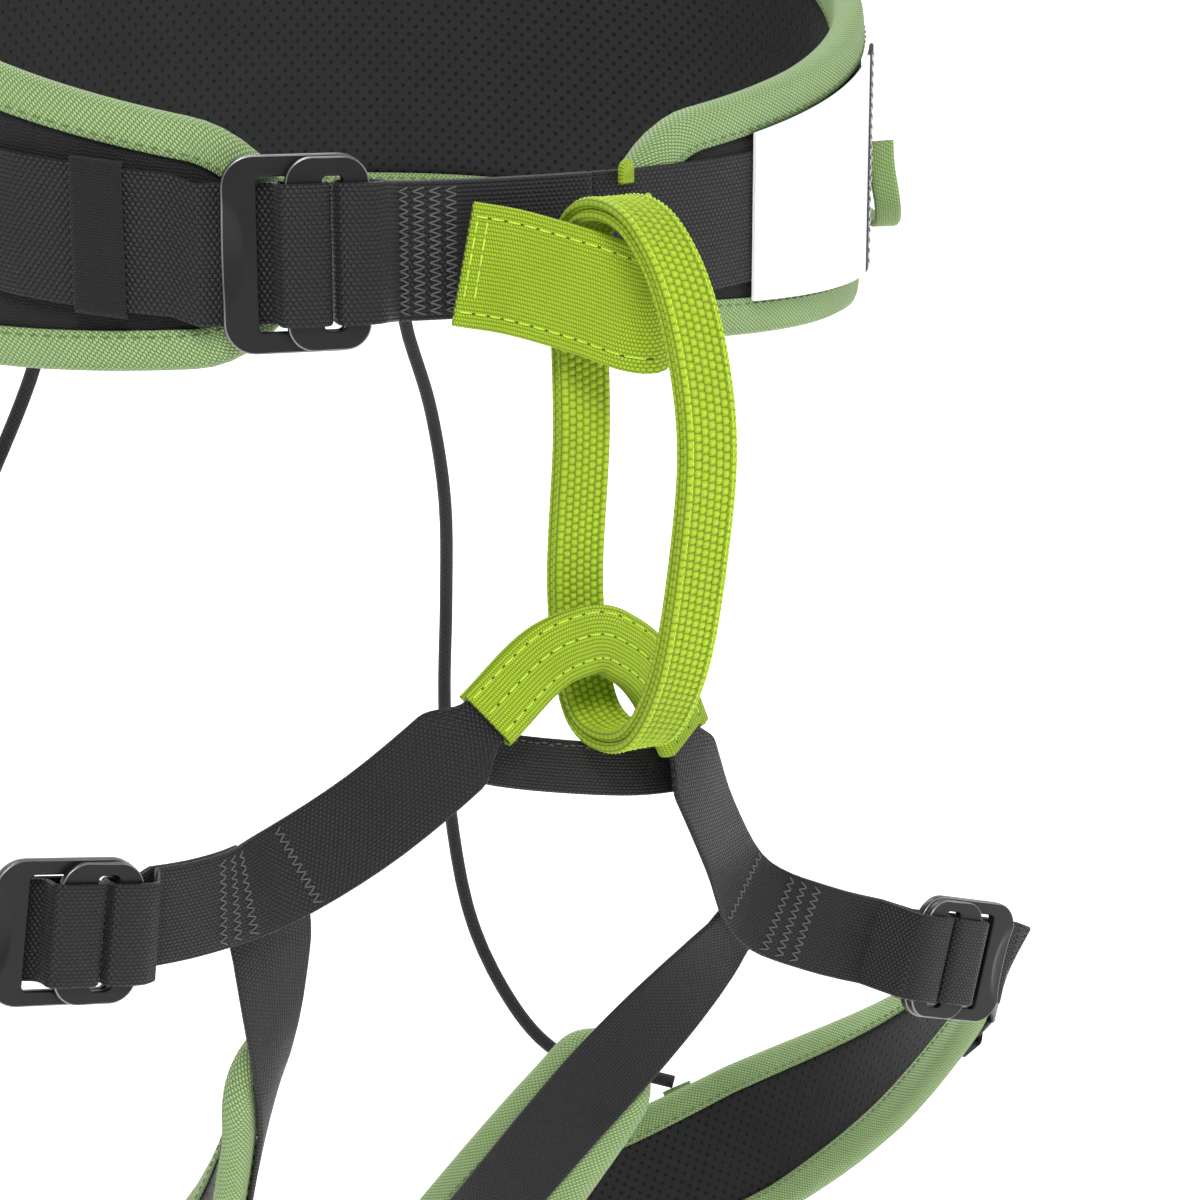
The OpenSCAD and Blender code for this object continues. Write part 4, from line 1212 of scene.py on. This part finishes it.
# %% Front strap
STRAP_LAYER = (WEB_T + GAP) / 2
front_t = np.linspace(2.8, BUCKLE_AT + 10.5, 30)
front = Strap(np.vstack([belt_at(front_t, STRAP_LAYER), in_waist_buckle(loop_run()),
                         belt_at(front_t[::-1], -STRAP_LAYER)]))
front.across = np.broadcast_to([0.0, 0, 1], front.path.shape)
front.face = unit(np.cross(front.across, headings(front.path)))
front_strap = webbing("waist_front_webbing", front, WAIST_WEB, WEB_T, across=14)
finish_piece(front_strap, black_webbing, "waist", ["waist_front_strap"])
sewn_to = front.s[len(front_t) - 1]
rows = [zigzag(front, sewn_to - k, 18.2, 33, 1.8, WEB_T / 2 + 0.05)
        for k in (1.5, 6.5, 11.5, 16.5)]
sewn("waist_front_bartacks", rows, 0.27, grey_thread, "waist")


# %% [markdown]
# ## Keeper, label and its edge
# An elastic keeper holds the tail. The wearer's left side carries a blank label film with
# a dark grey edge, sewn down with light thread.

# %% Keeper and label
def strip(name, strap, halves, thick, out, across=14):
    """A thin sheet along a strap whose half width changes: webbing with a taper."""
    halves = np.asarray(halves, float)
    return webbing(name, strap, 2 * halves.max(), thick, out, across, taper=halves / halves.max())


def bridge(name, strap, width, top, foot, thick=1.2):
    """A keeper: a strip that climbs over the webbing and comes down at both its edges."""
    knots = [(-width / 2 - 0.9, foot), (-width / 2 - 0.9, (top + foot) / 2),
             (-width / 2 - 0.2, top + 0.5), (-width / 4, top + 0.75), (0, top + 0.8),
             (width / 4, top + 0.75), (width / 2 + 0.2, top + 0.5),
             (width / 2 + 0.9, (top + foot) / 2), (width / 2 + 0.9, foot)]
    line = spline(knots, 4)
    ahead = headings(line)
    normal = np.stack([-ahead[:, 1], ahead[:, 0]], 1)
    section = np.vstack([line + normal * thick / 2, (line - normal * thick / 2)[::-1]])
    return carried(name, strap, section[None, :, 0], section[None, :, 1],
                   around(section, thick))


keeper_t = np.linspace(BELT_END - 11, BELT_END - 5, 9)
keeper = Strap(belt_at(keeper_t), belt_normal(keeper_t), upright=True)
made = bridge("waist_elastic_keeper", keeper, WAIST_WEB, 1.5 * WEB_T + 3 * GAP, -WEB_T / 2)
finish_piece(made, elastic, "waist", ["waist_keeper"])

LABEL_SHY = 8.2
label_t = np.linspace(24, 57.4, 60)
label = Strap(belt_at(label_t), belt_normal(label_t), upright=True)
made = strip("waist_label", label, waist_half(label_t) - LABEL_SHY, 1.1, 1.8)
finish_piece(made, label_film, "waist", ["label_panel"])
trim_t = np.linspace(57.5, 61.9, 14)
trim = Strap(belt_at(trim_t), belt_normal(trim_t), upright=True)
made = strip("waist_label_trim", trim, waist_half(trim_t) - LABEL_SHY, 1.5, 1.9)
finish_piece(made, label_trim, "waist", ["label_edge"])
v = np.arange(-34, 34.1, 3.4)
sets = []
for share in (0.25, 0.75):
    s = np.full(len(v), trim.total * share)
    sets.append([trim.at(s, v - 1.1, 2.75), trim.at(s, v + 1.1, 2.75), trim.facing(s)])
light_thread = thread_material("light_thread", (0.55, 0.56, 0.56))
sewn("waist_label_thread", sets, 0.25, light_thread, "waist")

# %% [markdown]
# ## The tie-in points
# The waist tie-in is a wide lime strap that bows out from the belt round the belay loop.
# Its ribs run along it, and it is sewn near both edges with long stitches.

# %% Waist tie-in
TIE_W, TIE_T = 36.0, 2.2
tie_route = [(-36, -111.8, -8), (-22, -118, -11), (-8, -133, -16), (1, -144, -20),
             (7, -147, -20), (14, -139, -16), (19, -126, -11), (25, -112, -6)]
tie_path = even(spline(tie_route, 8), 1.2)[:-4]
tie = Strap(tie_path, -np.cross([0.0, 0, 1], headings(tie_path)))


def rib_relief(pitch, depth, half):
    """Rounded ribs along a strap: depth |sin(pi v / pitch)|, fading out at the edges."""
    def relief(s, v):
        fade = np.clip((half - np.abs(v)) / 1.0, 0, 1)
        return depth * (np.abs(np.sin(np.pi * v / pitch)) - 0.6) * fade + 0 * s
    return relief


made = webbing("waist_tie_in_strap", tie, TIE_W, TIE_T, across=120,
               relief=rib_relief(1.15, 0.14, TIE_W / 2 - 1))
finish_piece(made, lime_ribbed, "waist", ["waist_tie_in"])
s = np.arange(3, tie.total - 3, 4.6)
face_side = TIE_T / 2 + 0.1
tie_rows = (-TIE_W / 2 + 4, TIE_W / 2 - 4.5)
rows = [seam(tie, s, v, face_side, 3.6) for v in tie_rows]
box = np.arange(-11, 11.1, 4.6)
for x in (1.8, 4.8):
    x = np.full(len(box), x)
    rows.append([tie.at(x, box - 1.8, face_side), tie.at(x, box + 1.8, face_side),
                 tie.facing(x)])
sewn("waist_tie_in_thread", rows, 0.3, lime_thread, "waist")
# painted shade: short dark threads where the stitches dive into the tape
needle_hole_shade = [seam(tie, s + 2.3, v, TIE_T / 2, 0.9) for v in tie_rows]
sewn("waist_tie_in_needle_holes", needle_hole_shade, 0.36, shaded_thread, "waist",
     bow=0.05)

# %% [markdown]
# ## The belay loop
# The belay loop is two layers of lime webbing, sewn together along its length. The sewing
# pulls the face into five rows of small lumps between two bound edges. That is too coarse
# for bump alone, so the relief is in the mesh.

# %% Belay loop
BELAY_W, BELAY_T = 17.5, 3.0
belay_route = [(0, -118, -60), (0, -117, -20), (0, -120, 0), (0, -134, 8), (0, -154, 4),
               (0, -172, -16), (0, -182, -50), (0, -178, -88), (0, -168, -123),
               (0, -150, -144.5), (0, -124, -143), (0, -114.5, -109)]
belay_path = even(spline(belay_route, 10, loop=True), 0.6, loop=True)
belay = Strap(belay_path, -np.cross([1.0, 0, 0], headings(belay_path, True)), loop=True)


def lump_relief(s, v):
    """Five rows of lumps: a row's dome across times a bump along, with the rows' bumps
    staggered, and smooth bindings outside the rows."""
    place = v / LUMP + LUMP_ROWS / 2
    inside = (place > 0) & (place < LUMP_ROWS)
    row = np.floor(place)
    dome = 1 - (2 * (place - row) - 1) ** 2
    wave = 0.58 + 0.42 * np.sin(2 * np.pi * (s / LUMP + LUMP_STAGGER * row - 0.25))
    edge = 0.3 * np.cos(np.clip((np.abs(v) - 7.2) / 1.4, -1, 1) * np.pi / 2)
    return np.where(inside, 0.8 * np.sqrt(np.clip(dome, 0, 1)) * wave - 0.42, edge - 0.05)


for layer, off, count in (("outer", 1, 42), ("inner", -1, 30)):
    made = webbing(f"belay_loop_{layer}_layer", belay, BELAY_W, BELAY_T - 0.35,
                   out=off * (BELAY_T + GAP) / 2, across=count, relief=lump_relief)
    finish_piece(made, lime_loop, "belay_loop", [f"belay_loop_{layer}"])
s = np.arange(1, belay.total - 2, 1.9)
outside = BELAY_T + GAP / 2 + 0.1
rows = [seam(belay, s + k * 0.6, v, outside, 1.2) for k, v in enumerate((-6.7, -7.6, 6.9))]
sewn("belay_loop_thread", rows, 0.2, lime_thread, "belay_loop", bow=0.15)

# %% [markdown]
# ## The leg webbing
# In front, one strap comes out of the leg tie-in, runs down over the thigh, turns round
# the buckle's plain bars and is sewn back under itself. It is drawn for the left leg and
# mirrored. The leg swings about a line across this strap.

# %% Leg lines
front_route = [(0, -131, -118), (18, -132, -126), (38, -133, -149), (62, -127, -177),
               (86, -119, -199), (110, -126, -206), (138, -133, -209), (162, -135, -211),
               (188, -128, -212)]
front_faces = [(0, -1, 0.3), (0.1, -1, 0.3), (0.3, -1, 0.3), (0.5, -0.85, 0.2),
               (0.3, -0.95, 0.1), (-0.2, -1, 0.05), (-0.1, -1, 0.05), (0.1, -1, 0.05),
               (0.3, -1, 0.05)]
front_path, front_normal = spline(front_route, 5), spline(front_faces, 5)
front_len = lengths(front_path)
SLEEVE_END, SWING_AT, LEG_BUCKLE_AT, LEG_BASE = 46.0, 70.0, 197.0, 4.0


def on_front(s):
    """Points and unit faces of the front strap's line at the lengths s."""
    return along(front_path, front_len, s), unit(along(front_normal, front_len, s))


leg_p, leg_n0 = (x[0] for x in on_front(np.array([LEG_BUCKLE_AT])))
leg_x = unit(along(front_path, front_len, [LEG_BUCKLE_AT + 6])[0]
             - along(front_path, front_len, [LEG_BUCKLE_AT - 6])[0])
leg_z = unit(np.cross(leg_x, -leg_n0))
leg_n = -np.cross(leg_z, leg_x)


def in_leg_buckle(q):
    """[x, out] or [x, out, z] of the leg buckle's frame, before it hangs over."""
    q = np.asarray(q, float)
    p = leg_p - q[..., :1] * leg_x + (q[..., 1:2] + LEG_BASE) * leg_n
    return p + (q[..., 2:3] * leg_z if q.shape[-1] == 3 else 0)


# %% Band lines
band_route = [(196, -124, -214), (213, -98, -236), (223, -50, -278), (218, 0, -318),
              (194, 40, -354), (152, 62, -378), (110, 58, -392), (72, 34, -398),
              (48, -8, -386), (43, -50, -346), (57, -88, -278), (76, -109, -228),
              (86, -115, -206)]
band_path = spline(band_route, 5)
band_middle = np.array([135.0, -30])
band_len = lengths(band_path)
band_total = band_len[-1]
straight_out = unit(np.column_stack([band_path[:, :2] - band_middle, np.zeros(len(band_path))]))
turn_in = np.clip((np.arange(len(band_path)) - (len(band_path) - 11)) / 8, 0, 1)[:, None]
band_normal = unit(mix(straight_out, front_normal[20], turn_in))


def on_band(s, off=0.0):
    """Points off outwards from the thigh band's line, and its unit faces."""
    face = unit(along(band_normal, band_len, s))
    return along(band_path, band_len, s) + off * face, face


PAD_FROM, PAD_TO = 2.0, band_total - 58
LEG_MIDDLE, LEG_THICK = -5.3, 4.0
pad_s = np.linspace(PAD_FROM, PAD_TO, 160)
u = (pad_s - PAD_FROM) / (PAD_TO - PAD_FROM)
leg_halves = mix(14.0, 26.0, np.clip(np.minimum(u, 1 - u) / 0.3, 0, 1) ** 0.9)
PAD_STEP = (PAD_TO - PAD_FROM) / 52
print(f"front strap {front_len[-1]:.0f} mm, band {band_total:.0f} mm")


# %% Lines of the two leg straps
def leg_front_line():
    """The front strap, its loop round the buckle's bars and the layer sewn back under."""
    s_loop = LEG_BUCKLE_AT - BAR_END - 9
    s = np.arange(2.0, s_loop, 2.0)
    top, face = on_front(s)
    turn = in_leg_buckle(loop_run())
    back_s = np.linspace(s_loop, s_loop - 34, 14)
    under, under_face = on_front(back_s)
    under = under - (WEB_T + GAP) * under_face
    path = np.vstack([top, turn, under])
    turn_face = np.cross(headings(turn), leg_z)
    strap = Strap(path, np.vstack([face, turn_face, -under_face]))
    grow = np.clip((s - SLEEVE_END) / 14, 0, 1)
    width = mix((21.0 - 5) / LEG_WEB, 1.0, grow * grow * (3 - 2 * grow))
    taper = np.concatenate([width, np.ones(len(path) - len(s))])
    return strap, taper, len(s)


def leg_band_line():
    """The thigh band: from its tail behind the buckle, over the slider's bar, out under
    the thumb bar and all round the thigh to the front strap."""
    run = in_leg_buckle(adjuster_run(-22)[::-1])
    s = np.arange(PAD_FROM + 2 * PAD_STEP, band_total, 2.5)
    rest, face = on_band(s, 1.0)
    path = np.vstack([run, rest])
    run_face = np.cross(headings(run), leg_z)
    if (run_face[-1] * leg_n).sum() < 0:
        run_face = -run_face
    return Strap(path, np.vstack([run_face, face])), len(run)


front_line, front_taper, front_count = leg_front_line()
band_line, run_count = leg_band_line()
pad_path, pad_face = on_band(pad_s)
pad_line = Pad(pad_path, pad_face, leg_halves, 15.0, 4.5)

# %% [markdown]
# ## Both legs
# The same lines serve both sides: the right one is mirrored, and then both are turned
# with the whole lower part, which hangs over to the wearer's left.

# %% Leg pieces
def hung_pad(pad, side):
    """A pad's stations in their place on either side."""
    turn = hang_turn(side)
    other = object.__new__(Pad)
    other.__dict__.update(pad.__dict__)
    other.p = pad.p @ turn.T + (HANG_POINT - turn @ HANG_POINT)
    other.n, other.t, other.w = pad.n @ turn.T, pad.t @ turn.T, pad.w @ turn.T
    return other


def leg_pad_pieces(name, side):
    """The thigh pad: foam, cover, rim and its thread."""
    body = f"leg_{name}"
    pad = hung_pad(pad_line, side)
    foam = pad_foam(f"leg_pad_{name}", pad, LEG_MIDDLE, LEG_THICK,
                    count=32, inner_share=0.9, cap_mm=1.3)
    finish_piece(foam, pad_liner, body,
                 [f"leg_pad_liner_{name}", f"leg_pad_foam_{name}"])
    cover = pad_shell(f"leg_pad_cover_{name}", pad, LEG_MIDDLE, LEG_THICK)
    finish_piece(cover, shell_cloth, body, [f"leg_pad_shell_{name}"])
    rim, line = pad_binding(f"leg_pad_rim_{name}", pad, LEG_MIDDLE, LEG_THICK, 7.5)
    finish_piece(rim, sage_mesh, body, [f"leg_pad_binding_{name}"])
    made = binding_stitches(f"leg_pad_rim_thread_{name}", line, LEG_MIDDLE, 5.9,
                            LEG_THICK + 1.0)
    finish_piece(made, sage_thread, body)


def leg_strap_pieces(name, side):
    """The front strap, the thigh band through its buckle, the keeper and the bartacks."""
    body = f"leg_{name}"
    line = hung(front_line, side)
    at_swing = [hung_point(on_front(np.array([SWING_AT + d]))[0][0], side) for d in (-10, 10)]
    made = webbing(f"leg_front_webbing_{name}", line, LEG_WEB, WEB_T, across=12,
                   taper=front_taper)
    inside = ["leg_tie_in_webbing"] if name == "left" else []
    finish_piece(made, thin_webbing, ("waist", body, *at_swing),
                 [f"leg_front_strap_{name}", *inside])
    rows = [zigzag(line, line.s[front_count - 1] - k, 12.4, 21, 1.3, WEB_T / 2 + 0.05)
            for k in (24, 29, 34, 52)]
    sewn(f"leg_front_bartacks_{name}", rows, 0.24, grey_thread, body)
    line = hung(band_line, side)
    bend = [hung_point(in_leg_buckle([x, 0]), side) for x in (-24, -6)]
    steps = np.clip((np.arange(len(line.path)) - run_count) / 8, 0, 1)
    made = webbing(f"leg_thigh_webbing_{name}", line, LEG_WEB, WEB_T, across=12,
                   taper=mix(1.0, BAND_WEB / LEG_WEB, steps))
    finish_piece(made, thin_webbing, (body, f"leg_buckle_{name}", *bend),
                 [f"leg_band_{name}", f"leg_buckle_wrap_{name}"])
    s = PAD_FROM + np.linspace(4, 5, 6) * PAD_STEP
    path, face = on_band(s, 1.0)
    strap = hung(Strap(path, np.broadcast_to(face[3], face.shape)), side)
    made = bridge(f"leg_elastic_keeper_{name}", strap, BAND_WEB, WEB_T / 2 + 2 * GAP, -WEB_T / 2)
    finish_piece(made, elastic, body, [f"leg_keeper_{name}"])


for name, side in SIDES.items():
    leg_pad_pieces(name, side)
    leg_strap_pieces(name, side)
    buckle_plates("leg_buckle", f"_{name}", LEG_WEB, 4.2,
                  lambda q: hung_point(in_leg_buckle(q), side), f"leg_buckle_{name}")

# %% [markdown]
# ## The leg tie-in
# A lime tape is folded up round the leg webbing where the rope or the belay loop rubs.
# It has three rows of long stitches, and its ends are open at the lower edge.

# %% Leg tie-in sleeve
sleeve_s = np.linspace(0, SLEEVE_END, 40)
sleeve_p, sleeve_n = on_front(sleeve_s)


def both_sides(rows):
    """A list for the left side, led by its mirror image."""
    return np.vstack([rows[:0:-1] * [-1, 1, 1], rows])


def eased(rows, window=9):
    """Each row is the mean of the rows round it, with the ends held."""
    wide = np.pad(rows, ((window // 2, window // 2), (0, 0)), mode="reflect", reflect_type="odd")
    sums = np.cumsum(np.vstack([np.zeros((1, 3)), wide]), axis=0)
    return (sums[window:] - sums[:-window]) / window


sleeve = hung(Strap(eased(both_sides(sleeve_p)), unit(eased(both_sides(sleeve_n)))), 1.0)
SLEEVE_W, SLEEVE_WALL = 21.0, 1.7


def sleeve_section():
    """A tape folded into a U over the webbing, open at its lower edge, with shallow ribs."""
    inner = WEB_T / 2 + 2 * GAP
    out = SLEEVE_W / 2
    middle = inner + SLEEVE_WALL / 2
    lower = np.linspace(-out + 0.8, out - 2.2, 34)
    ribs = 0.16 * (np.abs(np.sin(np.pi * lower / 1.35)) - 0.5)
    a = np.linspace(np.pi / 2, -np.pi / 2, 12)[1:-1]
    face = np.stack([lower, middle + SLEEVE_WALL / 2 + ribs], 1)
    bend = np.stack([out - 2.2 + 2.2 * np.cos(a), (middle + SLEEVE_WALL / 2) * np.sin(a)], 1)
    rear = np.stack([lower[::-1], -(middle + SLEEVE_WALL / 2 + ribs[::-1])], 1)
    inside = np.stack([lower[::4], np.full(len(lower[::4]), -inner)], 1)
    turn = np.stack([out - 2.2 + 0.9 * np.cos(-a[::2]), -inner * np.sin(a[::2])], 1)
    front = np.stack([lower[::-4], np.full(len(lower[::-4]), inner)], 1)
    return np.vstack([face, bend, rear, inside, turn, front])


section = sleeve_section()
made = carried("leg_tie_in_tape", sleeve, section[None, :, 0], section[None, :, 1],
               around(section))
finish_piece(made, lime_ribbed, "waist", ["leg_tie_in_sleeve"])
s = np.arange(3, sleeve.total - 3, 4.4)
outside = WEB_T / 2 + 2 * GAP + SLEEVE_WALL + 0.12
sleeve_rows = (-7.5, -1.0, 6.0)
rows = [seam(sleeve, s, v, outside, 3.4) for v in sleeve_rows]
sewn("leg_tie_in_thread", rows, 0.28, lime_thread, "waist")
# painted shade: short dark threads where the stitches dive into the tape
needle_hole_shade = [seam(sleeve, s + 2.2, v, outside - 0.1, 0.9) for v in sleeve_rows]
sewn("leg_tie_in_needle_holes", needle_hole_shade, 0.34, shaded_thread, "waist",
     bow=0.05)

# %% [markdown]
# The tape's own end is folded to a narrow tail along one edge, on the wearer's left. It
# starts inside the sleeve and moves out and back as it leaves it.

# %% Folded end of the tape
TAIL_FROM, TAIL_TO = 20.0, 50.0
tail_s = np.linspace(TAIL_FROM, TAIL_TO, 24)
tail_line = Strap(*on_front(tail_s))
grow = np.clip((tail_s - TAIL_FROM) / 14, 0, 1)
tail_route = tail_line.at(tail_line.s, -(SLEEVE_W / 2 + 1.4 * grow), 0.6 - 1.2 * grow)
tail = hung(Strap(tail_route, tail_line.face), 1.0)
made = webbing("leg_tie_in_tail", tail, 5.0, 3.2, across=20, relief=rib_relief(1.2, 0.1, 1.6))
finish_piece(made, lime_ribbed, "waist")

# %% Cross strap
cross_route = [(-46, -126.5, -155.2), (-20, -128, -158.2), (20, -128, -158.2),
               (46, -126.5, -155.2)]
cross_path = even(spline(cross_route, 8), 2.0)
cross = hung(Strap(cross_path, np.broadcast_to([0, -1.0, 0.3], cross_path.shape)), 1.0)
made = webbing("leg_cross_webbing", cross, 16.0, WEB_T, across=10)
finish_piece(made, thin_webbing, "waist", ["cross_strap"])
s = np.arange(3, cross.total - 3, 2.6)
row = seam(cross, s, -6.2 + 0.3 * np.sin(s), WEB_T / 2 + 0.05, 1.7)
sewn("leg_cross_thread", [row], 0.22, grey_thread, "waist")

# %% [markdown]
# ## Gear loops, anchors and tabs
# The gear loops are sage tape standing on edge, so that karabiners hang away from the
# pad. Each lifts about its own two ends. The risers end in short pieces of tape.

# %% Gear loops
gear_route = [(-1, 0, 2), (-0.98, 0.8, -7), (-0.88, 3.2, -19), (-0.52, 5.6, -30),
              (0, 6.2, -34), (0.52, 5.6, -30), (0.88, 3.2, -19), (0.98, 0.8, -7), (1, 0, 2)]
GEAR_W, GEAR_T, GEAR_HALF = 9.0, 2.4, 15.0
GEAR_OFF = (WEB_T + GEAR_W) / 2 + GAP + 0.1
places = {"left_front": 82, "left_rear": 122, "right_front": -82, "right_rear": -122}
for name, middle in places.items():
    way = spline(gear_route, 8)
    t = middle + way[:, 0] * GEAR_HALF
    path = belt_at(t, GEAR_OFF + way[:, 1], way[:, 2])
    strap = Strap(path, np.cross(headings(path), belt_normal(t)))
    made = webbing(f"gear_loop_{name}_tape", strap, GEAR_W, GEAR_T, across=10)
    finish_piece(made, sage_tape, f"gear_loop_{name}", [f"gear_loop_{name}"])

# %% Riser anchors and tabs
TAB_STEP = 18
for name, side in SIDES.items():
    z = np.linspace(1, -34, 14)
    t = np.full(len(z), side * 158.0)
    strap = Strap(belt_at(t, WEB_T + GAP, z), belt_normal(t))
    made = webbing(f"riser_anchor_tape_{name}", strap, 14.0, WEB_T, across=8)
    finish_piece(made, thin_webbing, "waist", [f"riser_anchor_{name}"])
    step = PAD_FROM + TAB_STEP * PAD_STEP
    place, face = on_band(np.array([step - 1, step, step + 1]))
    normal = face[1]
    up = unit(np.cross(normal, place[2] - place[0]))
    reach = np.linspace(2, 30, 12)[:, None]
    path = place[1] + normal * (1 + WEB_T + 2 * GAP) + reach * up
    strap = hung(Strap(path, np.broadcast_to(normal, path.shape)), side)
    made = webbing(f"riser_tab_tape_{name}", strap, 12.0, WEB_T, across=8)
    finish_piece(made, sage_tape, f"leg_{name}", [f"riser_tab_{name}"])

# %% [markdown]
# ## The end of the lime tape
# A short rounded end of the tie-in's tape looks out at the top of the belt. It is small,
# so it is one outline with its rim rounded over, and a row of ribs on its face.

# %% Tape end
def tape_end(name, middle, half, drop, thick, lean):
    """Rings of the same tongue outline, a half circle over two straight sides, each pulled
    in towards the tongue's middle where the rim turns over: by 0, r (1 - cos a) and half."""
    a = np.linspace(0, np.pi, 25)
    tongue = np.vstack([np.stack([half * np.cos(a), half * np.sin(a)], 1),
                        np.stack([np.full(6, -half), np.linspace(-1, -drop, 6)], 1),
                        np.stack([np.linspace(-half, half, 8)[1:-1], np.full(6, -drop)], 1),
                        np.stack([np.full(6, half), np.linspace(-drop, -1, 6)], 1)])
    a = np.linspace(-np.pi / 2, np.pi / 2, 9)
    keep = 1 - 0.22 * (1 - np.cos(a))
    flat = (tongue - [0, -drop / 4])[None] * keep[:, None, None] + [0, -drop / 4]
    out = np.broadcast_to((thick / 2 * np.sin(a))[:, None], flat.shape[:2])
    x, z = flat[..., 0], flat[..., 1]
    rings = middle + np.stack([x * np.cos(lean) - out * np.sin(lean),
                               -x * np.sin(lean) - out * np.cos(lean), z], -1)
    return grid(name, rings, np.append(lengths(rings[:, 0]), 9.0), around(tongue))


made = tape_end("waist_tie_in_tape_end", np.array([21.7, -108.6, 15.0]), 3.2, 4.0, 2.0,
                math.radians(-20))
finish_piece(made, lime_ribbed, "waist", ["tie_in_nub"])

# %% [markdown]
# The visual model has to stay inside the CAD model's box, apart from what fabric may
# stand proud.
